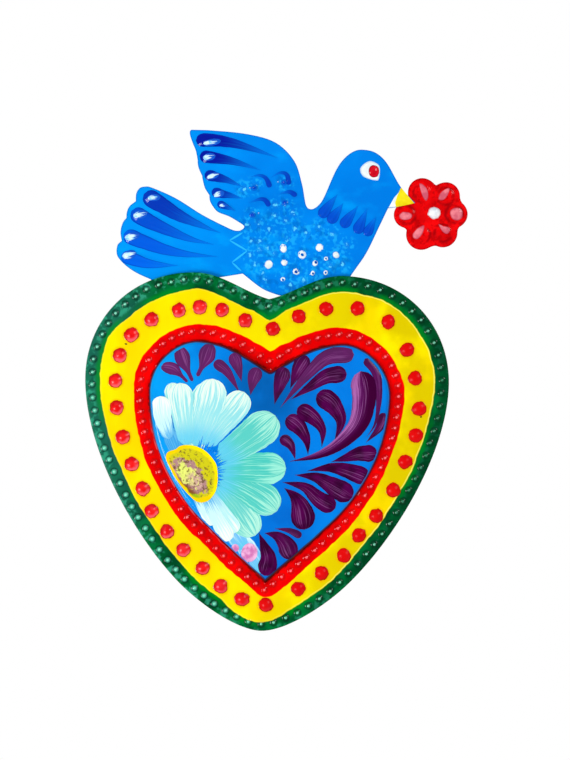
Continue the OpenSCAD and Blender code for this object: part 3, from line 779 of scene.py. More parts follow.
def plate_enamel():
    g = Graph("plate_enamel", 0.34, 1.0, 0.1)
    x, z = g.axis("X"), g.axis("Z")
    corner = g.most(3.2 - g.math("ABSOLUTE", x - 0.0006) * 400, 0) * z.ramp(-0.012, -0.004)
    edge = g.wobble(g.attribute("edge_mm"), (55, 2.2), (260, 0.9)) + z.ramp(0.004, -0.03, 0, 0.9)
    edge = edge + z.ramp(-0.14, -0.156, 0, 2.4) - g.near(-0.06, 0.006, 0.026, 0.012) * 2 - corner
    heart = g.wobble(g.attribute("heart_mm"), (60, 2.4), (240, 0.8))
    heart = heart + z.ramp(-0.03, -0.05, 0, 0.7) + x.ramp(0.03, 0.056, 0, 1.1)
    boss = g.wobble(g.attribute("boss_mm"), (330, 1.8), (800, 0.5))
    bead = g.attribute("bead_mm")
    # Painted light on the beads: a darker ring of painted shade around each bead's foot, painted highlights on the
    # bead tops, and a brighter painted highlight on the beads at the lower left. The highlights show fully on the
    # left and only a little on the right, and more strongly at the bottom and the top.
    bead_foot_shade, bead_highlight = bead.ramp(0.9, 1.4) * bead.ramp(2.5, 1.6), bead.ramp(0.85, 0.3)
    bright = x.ramp(0.03, -0.05, 0.12, 1)
    bead_highlight_strength = g.most(z.ramp(-0.09, -0.12, 0, 0.85), z.ramp(-0.035, -0.01, 0, 0.7), bright)
    streaks = g.noise(40, 3, g.scaled(g.place, (1.2, 1, 0.5)))
    lit = bead.ramp(1.7, 0.6) * g.near(-0.07, -0.11, 0.09, 0.05)
    # Green: lighter teal at the far left is painted glare. Teal mottling on the outer part of the band, stronger
    # towards the left, is partly painted glare. Darker green towards the right is painted shade.
    green = g.coats(
        (0, 70, 34), (g.noise(120, 4).ramp(0.35, 0.7), (0, 112, 52)),
        (x.ramp(-0.05, -0.08) * 0.6, (34, 108, 96)),
        (edge.ramp(4.6, 7.2) * streaks.ramp(0.42, 0.58, 0, 0.75), (0, 136, 26)),
        (g.noise(330, 4).ramp(0.48, 0.62) * edge.ramp(6.0, 4.0) * x.ramp(0.06, -0.06, 0.25, 0.75),
         (50, 160, 126)),
        (bead_foot_shade * 0.7, (0, 44, 30)), (lit * 0.85, (84, 208, 172)),
        (x.ramp(0.02, 0.06, 0, 0.7) * edge.ramp(6.2, 3.2, 0.2, 1), (0, 56, 28)),
        (bead_highlight * 0.4, (40, 134, 100)), (bead_highlight * bead_highlight_strength * 0.85, (140, 232, 200)))
    # Yellow: darker olive patches towards the right are painted shade, and an orange ring around each boss's foot
    # is painted shade.
    yellow = g.coats(
        (244, 214, 0), (streaks.ramp(0.35, 0.65), (250, 234, 0)),
        (g.noise(45, 4).ramp(0.36, 0.6) * x.ramp(-0.04, 0.07, 0.2, 0.95), (216, 194, 0)),
        (boss.ramp(5.0, 3.7, 0, 0.45), (240, 160, 0)))
    # Red band: painted shade around the beads' feet and painted highlights on their tops.
    red = g.coats((226, 0, 2), (g.noise(90, 3).ramp(0.38, 0.68), (255, 4, 4)), (bead_foot_shade * 0.35, (150, 0, 4)),
                  (bead_highlight * 0.75, (255, 130, 140)))
    # Painted light on the bosses: pink mottling on the left and pink on the slopes that face down are painted
    # highlights. Darker red on the slopes that face up is painted shade, and the bosses are painted a darker red
    # towards the right as in shade.
    down, brim = g.facing((0.4, 0, -0.92)), boss.ramp(1.3, 2.9) * bright
    spot = g.coats(
        (232, 0, 4), (g.noise(140).ramp(0.4, 0.65), (255, 20, 20)),
        (g.noise(240, 2, None, 0.4).ramp(0.48, 0.62, 0, 0.2) * bright, (255, 84, 92)),
        (down.ramp(0.05, 0.4, 0, 0.75) * brim, (255, 112, 124)),
        (down.ramp(0.0, -0.35, 0, 0.6) * brim, (196, 0, 6)),
        (bright.ramp(1, 0.2, 0, 0.7), (214, 4, 4)))
    ridge = edge.ramp(8.0, 8.25) * edge.ramp(8.8, 8.4) * x.ramp(0, 0.05, 0.1, 0.6)
    # Painted shade: a dark line on the plate along the puffed heart's foot, weaker on the right. Near the lower
    # left it turns into a pink painted highlight.
    foot = g.attribute("heart_mm").ramp(0.9, 0.25, 0, 0.8) * x.ramp(0.05, 0.02, 0.3, 1)
    foot_shade_glint_colour = g.mix(g.near(-0.055, -0.1, 0.055, 0.03), (96, 8, 6), (240, 110, 120))
    bands = g.coats(red, (heart.ramp(7.9, 8.3), yellow), (ridge, (255, 250, 120)))
    colour = g.coats(green, (edge.ramp(7.8, 8.15), bands), (boss.ramp(3.75, 3.5), (170, 0, 2)),
                     (boss.ramp(3.4, 3.05), spot), (foot, foot_shade_glint_colour))
    link(g.tree, boss.ramp(3.6, 3.2, 0.1, 0.24), g.shader.inputs["Coat Roughness"])
    shine = g.most(bead.ramp(2.2, 1.7, 0.12, 1), boss.ramp(3.9, 3.4) * bright.ramp(0, 1, 0.15, 0.6))
    link(g.tree, shine, g.shader.inputs["Coat Weight"])
    return g.done(colour, g.noise(700, 3) * 0.3 + g.noise(150, 2), 0.00022)


def puffed_enamel():
    g = Graph("puffed_enamel", 0.34, 0.6, 0.1)
    x = g.axis("X")
    sweep = g.noise(22, 3, g.scaled(g.place, (1, 1, 0.35)))
    # Painted light on the blue: darker in the valley under the notch as painted shade, and lighter towards the
    # left as the lit side.
    dip = g.near(-0.001, -0.038, 0.034, 0.008) * g.noise(45, 4).ramp(0.3, 0.55, 0.55, 0.9)
    blue = g.coats((0, 110, 212), (sweep.ramp(0.35, 0.7), (0, 136, 238)),
                   (x.ramp(-0.01, -0.06, 0, 0.8), (0, 164, 244)),
                   (g.noise(60, 4).ramp(0.5, 0.7, 0, 0.4), (0, 92, 190)), (dip, (0, 88, 166)))
    edge = g.wobble(g.attribute("edge_mm"), (120, 0.5)) + x.ramp(-0.005, -0.045, 0, 0.85)
    edge = edge + x.ramp(0.01, 0.045, 0, 0.75)
    # The steep wall: red paint, darkened as painted shade. A darker painted shadow line runs along the heart's
    # edge, left out at the lower left.
    wall = g.mix(g.noise(150).ramp(0.4, 0.6), (70, 14, 12), (130, 8, 8))
    line = edge.ramp(0.7, 1.0) * edge.ramp(2.0, 1.65) * g.near(-0.05, -0.11, 0.04, 0.06)
    colour = g.coats(wall, (edge.ramp(1.0, 1.5), blue), (line * 0.85, (44, 6, 22)))
    return g.done(colour, g.noise(160, 3), 0.00022)


def dove_enamel():
    g = Graph("dove_enamel", 0.36, 0.9, 0.1)
    bump = g.attribute("bump_mm")
    brushed = g.noise(75, 5, g.scaled(g.place, (0.7, 1, 1.3), (0.3, 0, 0.1)))
    # Around the bumps: light speckles that are part mottled paint and part painted glints, darker patches of
    # painted shade, and painted highlights on the bump tops.
    speckle_and_glints = bump.ramp(6.5, 3.0) * g.noise(520, 3).ramp(0.5, 0.62)
    dark = bump.ramp(5.5, 3.0) * g.noise(260, 3, g.scaled(g.place, (1, 1, 1), (1, 0, 2))).ramp(0.5, 0.66)
    glint = bump + g.noise(620, 2).ramp(0.35, 0.65, -0.5, 0.7)
    colour = g.coats(
        (0, 120, 222), (g.noise(28, 3).ramp(0.35, 0.7), (0, 136, 238)),
        (g.axis("X").ramp(0, -0.05, 0, 0.7), (0, 150, 246)), (brushed.ramp(0.5, 0.75, 0, 0.5), (0, 172, 255)),
        (speckle_and_glints * 0.55, (30, 184, 250)), (dark * 0.6, (0, 100, 190)),
        (glint.ramp(0.95, 0.45, 0, 0.85), (96, 214, 255)),
        (g.attribute("edge_mm").ramp(0.75, 0.2, 0, 0.6), (0, 92, 186)))
    link(g.tree, bump.ramp(2.4, 1.6, 0.12, 0.9), g.shader.inputs["Coat Weight"])
    return g.done(colour, g.noise(260, 3), 0.00025)


def flower_enamel():
    g = Graph("flower_enamel", 0.3, 0.2, 0.14)
    dip = g.wobble(g.attribute("dip_mm"), (300, 1.6))
    # Painted shade: darker red on the lower slopes and feet of the petal cups.
    crease_shade = dip.ramp(3.2, 4.2) * dip.ramp(5.6, 4.4) * g.noise(170, 3).ramp(0.4, 0.6)
    colour = g.coats(
        (206, 0, 4), (g.noise(120, 3).ramp(0.35, 0.65), (240, 4, 8)), (crease_shade, (164, 0, 6)),
        (g.noise(420, 4).ramp(0.5, 0.66, 0, 0.6), (160, 0, 4)),
        (g.attribute("edge_mm").ramp(0.7, 0.2, 0, 0.6), (140, 0, 4)))
    return g.done(colour, g.noise(300, 3), 0.00015)


def bare_tin(name="bare_tin", base=(200, 202, 203), rough=0.33):
    g = Graph(name, rough, 0, metallic=0.95)
    scratch = g.noise(500, 2, g.scaled(g.place, (1, 1, 0.05)))
    colour = g.coats(tuple(c * 0.91 for c in base), (g.noise(170, 3).ramp(0.35, 0.7), base),
                     (g.noise(14, 3).ramp(0.55, 0.8, 0, 0.25), (150, 142, 130)))
    link(g.tree, scratch.ramp(0.3, 0.8, rough - 0.07, rough + 0.12), g.shader.inputs["Roughness"])
    return g.done(colour, g.noise(260, 3), 0.00012)


def solder_metal():
    g = Graph("solder_metal", 0.4, 0, metallic=0.9)
    colour = g.mix(g.noise(700, 3).ramp(0.35, 0.7), (120, 122, 124), (176, 178, 180))
    return g.done(colour, g.noise(900, 3), 0.00025)


def soldered_over():
    g = Graph("painted_solder", 0.34)
    colour = g.mix(g.noise(500, 3).ramp(0.64, 0.7), (206, 2, 4), (170, 160, 156))
    return g.done(colour, g.noise(900, 3), 0.00025)


def petal_paint():
    g = Graph("petal_paint", 0.4, 0.2, 0.1)
    hairs, along, tone = g.hairs(0.045, 1.15), g.attribute("along"), g.attribute("tone")
    # Painted glare: pale light-blue and white patches, and petals whitened, where the lower left of the puffed
    # heart catches the light.
    wash, glare_patch, glare_whitening = tone.ramp(1.2, 1.5), tone.ramp(2.2, 2.8), tone.ramp(-0.2, -0.8)
    tone = g.math("MINIMUM", g.most(tone, 0), 1)
    aqua = g.coats((156, 226, 234), (tone, (58, 196, 180)), (wash, (60, 158, 224)), (glare_patch, (110, 190, 240)),
                   (glare_whitening, (200, 242, 240)))
    pale = g.coats((240, 252, 238), (tone, (140, 232, 210)), (wash, (96, 180, 230)), (glare_patch, (206, 240, 252)))
    white = (hairs + along.ramp(0.5, 0.02, 0, 0.13)).ramp(0.49, 0.66)
    base = (along + hairs * 0.7).ramp(0.92, 1.26, 0, 0.85) * (1 - glare_whitening)
    worn = (along + hairs * 1.6).ramp(1.36, 1.68) * glare_whitening
    return g.done(g.coats(aqua, (white, pale), (base, (92, 200, 234)), (worn, (96, 182, 232))), hairs, 0.0003)


def leaf_paint():
    g = Graph("leaf_paint", 0.32, 0.35)
    hairs, across, along = g.hairs(0.04, 1.5), g.attribute("across"), g.attribute("along")
    dark = g.coats((50, 0, 44), (g.noise(1.2, 2, g.strokes()).ramp(0.35, 0.65), (80, 0, 72)),
                   (g.attribute("tone").ramp(0, 1, 0, 0.55), (112, 48, 116)))
    side = across.ramp(-0.5, 0.15) * across.ramp(0.9, 0.4) * (along.ramp(0.75, 0.4) * along.ramp(0.02, 0.16))
    pale = (hairs + side * 0.12).ramp(0.56, 0.78, 0, 0.55)
    rim = (across * across).ramp(0.7, 0.98, 0, 0.5)
    return g.done(g.coats(dark, (pale, (150, 84, 152)), (rim, (36, 0, 40))), hairs, 0.0002)


def big_leaf_paint():
    g = Graph("big_leaf_paint", 0.32, 0.35)
    hairs, across = g.hairs(0.03, 1.5), g.attribute("across")
    pale = (hairs + across * -0.24).ramp(0.5, 0.74, 0, 0.95) * g.attribute("along").ramp(0.95, 0.6)
    colour = g.coats((60, 0, 50), (across.ramp(0.6, -0.5), (92, 16, 92)), (pale, (176, 104, 176)),
                     ((across * across).ramp(0.8, 0.98, 0, 0.5), (50, 0, 50)))
    return g.done(colour, hairs, 0.0002)


def flat_paint(name, low, high, roughness=0.32, scale=1.6, brim=None):
    """One colour with some mottling; round spots can have a darker brim."""
    g = Graph(name, roughness, 0.4, 0.12)
    colour = g.mix(g.noise(scale, 4, g.strokes()).ramp(0.35, 0.68), low, high)
    if brim:
        colour = g.mix(g.attribute("along").ramp(0.78, 0.97, 0, 0.7), colour, brim)
    return g.done(colour, g.hairs(0.1, 1.2), 0.00012)


def feather_paint():
    g = Graph("feather_paint", 0.32, 0.45, 0.1)
    hairs, across = g.hairs(0.05, 1.0), g.attribute("across")
    fade = (g.attribute("along") + hairs * 0.5).ramp(0.5, 1.35)
    colour = g.coats((6, 24, 156), (g.attribute("tone"), (0, 98, 230)), (fade, (0, 122, 232)),
                     ((across * across).ramp(0.6, 0.95, 0, 0.6), (0, 46, 166)))
    return g.done(colour, hairs, 0.00014)


def daub_paint():
    g = Graph("daub_paint", 0.3, 0.4)
    hairs, across = g.hairs(0.12, 1.5), g.attribute("across")
    cover = hairs + g.attribute("along").ramp(1.0, 0.1, 0, 0.3) - across * across * 0.35
    broken = g.mix(g.noise(4, 3, g.strokes()).ramp(0.35, 0.6), (120, 200, 244), (216, 246, 255))
    colour = g.coats((20, 90, 206), (cover.ramp(0.54, 0.66), broken), (g.attribute("tone"), (40, 186, 255)))
    return g.done(colour, hairs, 0.0002)


def disc_paint():
    """A yellow rim, then a slanting mauve ring scratched over olive and pale yellow."""
    g = Graph("disc_paint", 0.36, 0.3, 0.1)
    r = g.attribute("along") + (g.noise(150, 3) - 0.5) * 0.2
    dx, dz = g.axis("X") + 0.0377, g.axis("Z") + 0.0821
    u, v = dx * 77 - dz * 64, dx * 118 + dz * 142
    q = g.math("SQRT", u * u + v * v) + (g.noise(300, 5, None, 0.7) - 0.5) * 1.7
    hatch = g.noise(1, 3, g.scaled(g.place, (900, 900, 420)), 0.6)
    middle = g.coats((222, 232, 110), ((u + g.noise(160, 3)).ramp(0.3, 0.9), (206, 168, 150)),
                     (hatch.ramp(0.52, 0.6, 0, 0.8), (232, 238, 120)))
    ring = g.mix(v.ramp(-0.5, -1.0), (176, 132, 132), (132, 76, 36))
    outside = g.mix(v.ramp(-0.6, -1.0), (206, 200, 24), (146, 186, 24))
    dark = g.noise(620, 5, None, 0.7).ramp(0.52, 0.6, 0, 0.85) * q.ramp(2.6, 1.4, 0.4, 1)
    rim = g.mix(g.noise(60).ramp(0.4, 0.6), (250, 206, 0), (255, 232, 0))
    colour = g.coats(middle, (q.ramp(0.68, 0.82), ring), (q.ramp(1.08, 1.24), outside), (dark, (104, 78, 40)),
                     (r.ramp(0.82, 0.93), rim))
    return g.done(colour, g.noise(420, 4), 0.0003)


tin = bare_tin()
for sheet, body_material, nodes in (
        (heart_sheet, plate_enamel(), "heart_plate"), (puffed_sheet_obj, puffed_enamel(), "puffed_heart"),
        (dove_sheet, dove_enamel(), "dove_plate"), (flower_sheet, flower_enamel(), "flower_plate")):
    sheet.data.materials[0], sheet.data.materials[1] = body_material, tin
    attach(sheet, "ornament")
    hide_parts(nodes)

wire = bare_tin("steel_wire", (168, 170, 172), 0.26)
solder = solder_metal()
for name, material in (("hanger_saddle", tin), ("hanger_ring", wire), ("puffed_heart_solder", soldered_over()),
                       ("dove_solder", solder), ("flower_solder", solder), ("saddle_solder", solder)):
    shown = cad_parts[name]
    shown.data.materials.clear()
    shown.data.materials.append(material)

# The painted daisy and leaves

ON_PUFFED, ON_DOVE = (puffed_height, PLATE_FRONT), (dove_height, DOVE_FRONT)
ON_FLOWER = (flower_height, FLOWER_FRONT)
DAISY = (-36, -88.5)
# Each stroke: its path, width and tone. Petals' tones go from aqua at 0 to sea green at 1, 1.6 is a blue
# wash, 3 a pale patch of painted glare, and a negative one whitens the petal as painted glare.
petals = Paint("daisy_petals", *ON_PUFFED)
UNDER = [([(-47.5, -43), (-45.5, -52), (-41.5, -63)], 8.5, 0.25),
         ([(-29.5, -42.5), (-31, -52), (-34, -66)], 13, 0.3),
         ([(-48, -66), (-44.5, -74), (-41, -84)], 9.5, 1.6), ([(-34, -68), (-35, -76), (-36, -86)], 12, 0.2),
         ([(-18, -80), (-24, -84), (-32, -88)], 15, 0.8), ([(-16, -92), (-24, -92), (-32, -90)], 17, 0.8)]
for path, width, tone in UNDER:
    petals.stroke(path, width, brush, 0.06, tone, 10)
PETAL_STROKES = [
    ([(-4, -118), (-10.5, -108.5), (-17, -100.5), (-25, -92)], 15, 0.7),
    ([(6.5, -105.5), (-.5, -99.5), (-11, -93.5), (-23, -89)], 16, 0.85),
    ([(10.5, -84), (3, -84.2), (-8.5, -84.5), (-23, -85.5)], 16, 0.9),
    ([(4.5, -58), (-2.5, -65), (-13, -73), (-23, -79.5)], 17.5, 0.8),
    ([(-11, -46.8), (-15.5, -54.5), (-23, -64), (-30, -74)], 13.5, 0.15),
    ([(-27, -40.5), (-28, -50.5), (-31.5, -62.5), (-35, -74)], 15.5, 0.1),
    ([(-43.3, -43), (-42.2, -54), (-39, -74)], 12.5, 0.12),
    # The last petal is whitened as painted glare.
    ([(-53, -49.8), (-51.5, -60), (-47.8, -71)], 9.6, -0.75)]
for k, (path, width, tone) in enumerate(PETAL_STROKES):
    petals.stroke(path, width, brush, 0.09 + 0.025 * k, tone, 12)
# Three petals whitened as painted glare.
for k, (path, width, tone) in enumerate((
        ([(-13, -116.5), (-19, -108.5), (-27, -97)], 7.5, -0.5),
        ([(-24.6, -113.2), (-29, -106.5), (-34.5, -98)], 7, -1),
        ([(-16.6, -121), (-23, -110.5), (-30, -97)], 8, -0.8))):
    petals.stroke(path, width, brush, 0.1 + 0.03 * k, tone, 10)
# Two pale strokes of painted glare along the puffed heart's lower left.
petals.stroke([(-18, -112), (-14, -118.5), (-9, -125)], 9, lens, 0.07, 3, 8)
petals.stroke([(-12, -117), (-6.5, -127), (.4, -136.8)], 10, lens, 0.05, 3, 8)
petals.build(petal_paint())

disc = Paint("daisy_disc", *ON_PUFFED)
disc.blob([(-49.3, -81.6), (-47.6, -85), (-44.7, -90.2), (-41.1, -94.9), (-37.9, -98.4), (-34.3, -101.5),
           (-31.3, -102.3), (-27.8, -101.2), (-25, -98), (-23.6, -94.1), (-23.3, -88.8), (-24, -83.6),
           (-26.1, -80.1),
           (-29.7, -76.5), (-34.1, -74.4), (-38.9, -73.7), (-42.6, -74.4), (-44.6, -76), (-48.3, -77.4),
           (-49.5, -79.4)], lift=0.34, rings=16)
disc.build(disc_paint())

fringe = Paint("daisy_fringe", *ON_PUFFED)
for k in range(25):
    a = math.radians(78 - k * 4.0 + rng.uniform(-1.5, 1.5))
    ends = 12.2, 15.6 + rng.uniform(-1.2, 1.8) + (1.5 if k < 16 else 0)
    way = np.array([math.cos(a), math.sin(a) * 1.08])
    fringe.stroke([tuple(DAISY + way * far) for far in ends], 1.3 if 3 < k < 15 else 0.75, comma, 0.32, 0.5, 2)
fringe.build(flat_paint("fringe_paint", (0, 122, 232), (10, 140, 244)))

LEAVES = [
    ([(-53, -35.2), (-46.5, -36.3), (-39.5, -42.5)], 6.2, 0.9),
    ([(-44.5, -24.6), (-41.8, -32), (-37, -42)], 7.6, 0.9),
    ([(-28.5, -23), (-31, -31), (-34.8, -39.5)], 8.4, 0.9),
    ([(-26.5, -32), (-20, -36.8), (-13.5, -47)], 5.6, 0.7),
    ([(-17.5, -27.5), (-14.8, -34), (-12.6, -41.5)], 6.4, 0.8),
    ([(-4.6, -34.5), (-6.8, -40.5), (-8, -48)], 7, 0.8),
    ([(9, -34), (6.5, -42), (4, -52.5)], 8, 0.3), ([(19.6, -28), (15.6, -34.5), (11.6, -44.5)], 8, 0.25),
    ([(43, -26.8), (30, -28.3), (19.5, -38), (7, -54)], 8.6, 0.8),
    ([(39.6, -36.5), (30, -37.8), (22, -43), (12, -50)], 8.6, 0.2),
    ([(25, -47), (32.5, -51.5), (37.2, -60), (34.4, -69.5)], 10.2, 0.1),
    ([(15.5, -54), (22.5, -58), (28, -64.5), (28, -73)], 8.4, 0.1),
    ([(10, -59), (16, -63), (20.2, -69.5), (21.3, -77)], 8.6, 0.1),
    ([(7.4, -68.6), (12.5, -72.5), (15, -79.5)], 5.6, 0.2),
    ([(48.5, -28.7), (54.2, -35.5), (56, -47.5), (54.5, -60.5), (50, -68)], 4.8, 0.4),
    ([(59, -55.5), (56.5, -63), (50, -70.5)], 5.2, 0.3),
    ([(55.8, -76), (47.5, -76), (40, -78.3), (33, -80.4)], 8.4, 0.1),
    ([(52, -88.5), (43, -85.3), (33, -83.3), (21, -85.2)], 9, 0.1),
    ([(44, -98), (34.5, -92.8), (25.5, -88.3), (15, -87.3)], 10.5, 0.15),
    ([(35.5, -103.6), (27.5, -99.3), (20, -93.3), (9, -91)], 9, 0.1),
    ([(20.5, -114.5), (18.8, -105), (15.5, -98.5), (10, -94)], 12, 0.1),
    ([(19, -118), (13, -115.2), (5.6, -114.3)], 3.8, 0.4),
    ([(14.4, -129.4), (11.5, -122.3), (6.7, -118), (.6, -116.6)], 9.6, 0.2),
    ([(1, -138), (2.8, -130), (.5, -123), (-2.2, -116.6)], 9.4, 0.1)]
leaves = Paint("leaf_strokes", *ON_PUFFED)
for k, (path, width, tone) in enumerate(LEAVES):
    leaves.stroke(path, width, paddle if k < 3 else comma, 0.07 + 0.02 * (k % 3), tone, 8)
leaves.build(leaf_paint())
big_leaf = Paint("long_leaf_stroke", *ON_PUFFED)
big_leaf.stroke([(46.5, -35), (48.6, -47.5), (46, -61), (36.5, -71.5), (25.5, -77.5), (12.5, -80.6)],
                12.4, comma, 0.15, 0.2, 14, 0.12)
big_leaf.build(big_leaf_paint())

dabs = Paint("pink_dabs", *ON_PUFFED)
dabs.stroke([(-6, -122), (-7.5, -131.5)], 8, lens, 0.12, 0, 8)
dabs.stroke([(-14, -122.6), (-13.5, -126.6)], 3.8, lens, 0.12, 0, 6)
dabs.build(flat_paint("pink_paint", (206, 112, 176), (240, 184, 222), 0.35, 3))

specks = Paint("dark_specks", plate_height, PLATE_FRONT)
specks.disc((-71, -24.2), 1.3, 0.7, -10, lift=0.08, rings=3)
specks.disc((77.4, -57.1), 1.0, 0.7, 20, lift=0.08, rings=3)
specks.build(flat_paint("speck_paint", (20, 24, 20), (40, 44, 36), 0.4))

# The dove's strokes

feathers = Paint("feather_strokes", *ON_DOVE)
FEATHER_STROKES = [
    ([(-38.6, 78.6), (-30, 79), (-19, 77.5), (-8, 74.5), (2.5, 71)], 6.8, 0),
    ([(-36.5, 71), (-29.5, 70.2), (-21.5, 69), (-13.5, 67), (-6, 64.6)], 6.2, 0),
    ([(-33.8, 62), (-28.5, 60.7), (-22, 59), (-14.5, 56)], 5.4, .1),
    ([(-30, 53.7), (-25.5, 52.3), (-20.5, 51.5), (-14.5, 50.2)], 4.8, .2),
    ([(-27, 47.6), (-23, 46), (-18, 43.8)], 3.8, .3),
    ([(-64, 51.2), (-56.5, 46.8), (-46, 40.8), (-34.5, 36), (-25, 32.6)], 8.6, .25),
    ([(-70, 42.6), (-62, 38), (-50.5, 33), (-39.5, 29), (-28.5, 26.8)], 8, .6),
    ([(-73.6, 31), (-65, 27.7), (-53, 23.7), (-41, 21.5), (-26.5, 20.8)], 7.6, .85),
    ([(-74.4, 20.5), (-68, 18.2), (-59.5, 16.2), (-46, 15.8)], 6.8, 1)]
for path, width, tone in FEATHER_STROKES:
    feathers.stroke(path, width, comma, 0.16, tone, 14)
for a, b, w in DROPS:
    way = np.array(a, float) - np.array(b, float)
    start = np.array(a) + way / np.linalg.norm(way) * w
    feathers.stroke([tuple(start), tuple(0.5 * (start + b)), b], 2 * w * 1.75, comma, 0.2, 0.6, 12)
for arc in ARCS:
    feathers.stroke(arc, 2.6, comma, 0.2, 0.35, 6)
for spot in ((-8.8, 55.6), (6, 58.6), (6.6, 48.6), (-9.4, 42)):
    feathers.disc(spot, 3.1, 2.8, lift=0.16, tone=0.4, rings=5)
feathers.build(feather_paint())

daubs_and_glints = Paint("white_daubs", *ON_DOVE)
DAUBS = [((-34.8, 77), (-26, 78.8), 3.4), ((-34.8, 70), (-28.5, 71.2), 3.8), ((-32.5, 60),
         (-26.5, 62.2), 3.2),
         ((-28.8, 51), (-23.6, 53.2), 3.4), ((-26, 46.4), (-22, 46.6), 2), ((-62, 49.2), (-55.5, 49.8), 3.4),
         ((-69, 40), (-62, 41.8), 4.6), ((-73, 29), (-65.5, 30.7), 4.2), ((-74, 19.5), (-67, 21.7), 4.6)]
for a, b, w in DAUBS:
    daubs_and_glints.stroke([a, b], w, lens, 0.26, 0, 8)
# Four small light discs beside the blue spots are painted glints.
for x, z in ((-11, 55.6), (6.8, 47.1), (-6.3, 43.1), (3, 58.9)):
    daubs_and_glints.disc((x, z), 1.1, 1, lift=0.16, rings=3, tone=0.15)
for a, b in zip(CREASE, CREASE[1:]):
    daubs_and_glints.stroke([a, b], 0.9, lens, 0.12, 1, 4)
daubs_and_glints.build(daub_paint())

dots = Paint("white_dots", *ON_DOVE)
DOTS = [((6.5, 25.7), 3.4, 4.2), ((-.6, 17.4), 4.3, 3.8), ((7.2, 18.6), 3.2, 3.2), ((16, 22.7), 4, 4.2),
        ((24.6, 26.5), 3.9, 3.7), ((33, 23), 3, 3.5), ((28, 21), 2, 2), ((22.6, 18.6), 3, 2.6),
        ((13.2, 14.2), 3, 3.4),
        ((21.5, 13.6), 2.4, 2), ((28, 14), 2.4, 2), ((6.6, 10.2), 2.4, 2)]
for mid, w, h in DOTS:
    dots.disc(mid, w, h, rng.uniform(0, 90), lift=0.08, rings=5, wobble=0.1)
middles = Paint("dot_middles", *ON_DOVE)
for x, z, d in ((16.1, 22.6, 1.5), (28, 21, .9), (23, 19, 1.4), (13.2, 14, 1.5), (21.7, 13.4, 1.1), (28, 14, 1.1),
                (6.7, 9.9, 1.2)):
    middles.disc((x, z), d, d * 1.1, rng.uniform(0, 90), lift=0.16, rings=3, wobble=0.2)
dots.blob([(44.3, 64.6), (45.6, 62.8), (48.2, 61.6), (51.4, 60.9), (53.4, 61.3), (54, 65.5), (53.4, 68.4),
           (51, 70),
           (48.6, 70.4), (46, 69), (44.2, 66.8)], lift=0.07, rings=8)
dots.blob([(58.7, 47.3), (62.4, 47.7), (63.3, 52), (63.9, 55.4),
           (61.4, 52.4)], lift=0.07, rings=4, smooth=False)
dots.build(flat_paint("white_paint", (222, 234, 238), (255, 255, 250), 0.35, 1.4, (164, 200, 226)))

middles.build(flat_paint("middle_paint", (0, 70, 170), (0, 124, 226)))

pupil = Paint("dove_pupil", *ON_DOVE)
pupil.disc((51, 65.3), 5.4, 6.2, 8, lift=0.16, rings=8, wobble=0.08)
pupil.build(flat_paint("pupil_paint", (190, 4, 24), (226, 20, 40), brim=(84, 6, 40)))
beak = Paint("dove_beak", *ON_DOVE)
beak.blob([(64.8, 57.6), (62.9, 53.2), (62, 50), (62.4, 47.7), (67, 48.7), (71.6, 49.9),
           (68.6, 53.2)], lift=0.12,
           rings=5, smooth=False)
beak.build(flat_paint("beak_paint", (226, 204, 8), (248, 232, 30)))

marks = Paint("flower_marks", *ON_FLOWER)
for outline in ([(73.9, 59.7), (75.5, 59.5), (77.9, 56.9), (78.5, 53.1), (77.5, 51.3), (75.9, 52.9), (74.5, 56.5)],
                [(83.6, 52.7), (84.8, 55.5), (87.6, 57.6), (89.2, 57.5), (88.2, 54.3), (86.2, 51.9),
                (84.2, 51.7)],
                [(89.6, 45.1), (90.8, 42.5), (93.4, 41.8), (95.6, 43.2), (95.8, 45.9), (94.4, 47.8),
                 (91.8, 48), (90, 46.9)],
                [(84, 39.6), (85.8, 36.2), (88.2, 34.8), (89.7, 36.4), (88.8, 38.2), (86.4, 38.6)],
                [(76.8, 38.9), (76.1, 34.9), (73.8, 32.1), (71.8, 32.3), (71.2, 34.3), (73.2, 37.1)],
                [(64.2, 43.7), (64.9, 41.9), (67.3, 41.3), (69.9, 42.1), (70.6, 43.9), (68.9, 45.1),
                (65.9, 45.3)]):
    marks.blob(outline[::-1], lift=0.08, rings=6)
marks.build(flat_paint("rose_paint", (204, 88, 108), (240, 134, 144), 0.32, 2.4, (176, 36, 56)))
pip = Paint("flower_pip", *ON_FLOWER)
pip.disc((81.7, 45.2), 6.4, 6.2, 0, lift=0.08, rings=8, wobble=0.14)
pip.build(flat_paint("pip_paint", (206, 216, 226), (255, 255, 255), 0.3, 1.6, (190, 120, 130)))

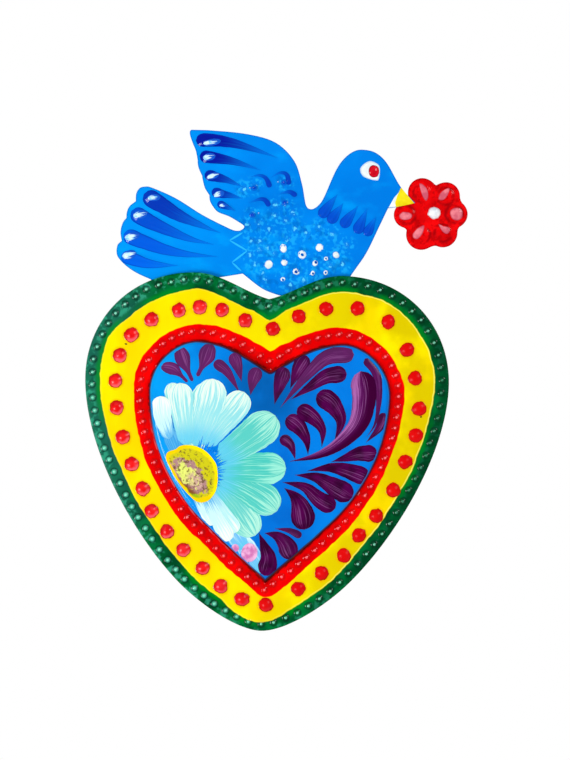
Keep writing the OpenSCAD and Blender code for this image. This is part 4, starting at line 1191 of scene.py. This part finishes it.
# Camera, lamps and world, in metres

camera_data = bpy.data.cameras.new("camera")
camera = in_scene("camera", camera_data)
SENSOR, CAMERA_FAR, CAMERA_SEES = 36, 1.2, 0.380  # mm, and the distance and the height in view in metres
camera_data.sensor_width, camera_data.lens = SENSOR, SENSOR * CAMERA_FAR / CAMERA_SEES
# The piece hangs turned by 1.4 degrees in the photograph, so the camera is turned by as much.
camera.matrix_world = Matrix(((0.9997, -0.0241, 0, 0.00895), (0, 0, -1, -1.2043), (0.0241, 0.9997, 0, -0.03327),
                              (0, 0, 0, 1)))
bpy.context.scene.camera = camera


def lamp(name, place, aim, size, power):
    light = bpy.data.lights.new(name, "AREA")
    light.shape, light.energy = "RECTANGLE", power
    light.size, light.size_y = size
    obj = in_scene(name, light)
    obj.location = place
    obj.rotation_euler = (Vector(aim) - Vector(place)).to_track_quat("-Z", "Y").to_euler()


lamp("window", (-0.85, -0.9, -0.4), (0, 0, -0.05), (0.45, 0.5), 9.3)
lamp("bulb", (0.8, -0.75, 0.55), (0, 0, -0.03), (0.4, 0.4), 4.8)

world = bpy.data.worlds.new("world")
bpy.context.scene.world = world
world.use_nodes = True
tree = world.node_tree
rays = node(tree, "LightPath")


def plain_light(strength):
    return node(tree, "Background", {"Color": (1, 1, 1, 1), "Strength": strength}).outputs[0]


def mirrored_room():
    """What shiny things show: the dim room in front of the piece and the pale wall behind it."""
    side = node(tree, "SeparateXYZ", {0: node(tree, "TexCoord").outputs["Generated"]}).outputs["Y"]
    ends = {"From Min": -0.1, "From Max": 0.4, "To Min": 0.04, "To Max": 1}
    return node(tree, "MapRange", {"Value": side, **ends}).outputs["Result"]


def choose(ray, other, chosen):
    return node(tree, "MixShader", {0: rays.outputs[ray], 1: other, 2: chosen}).outputs[0]


room = choose("Is Glossy Ray", plain_light(0.6), plain_light(mirrored_room()))
link(tree, choose("Is Camera Ray", room, plain_light(1)), tree.nodes["World Output"].inputs["Surface"])
bpy.context.scene.view_settings.view_transform = "Standard"
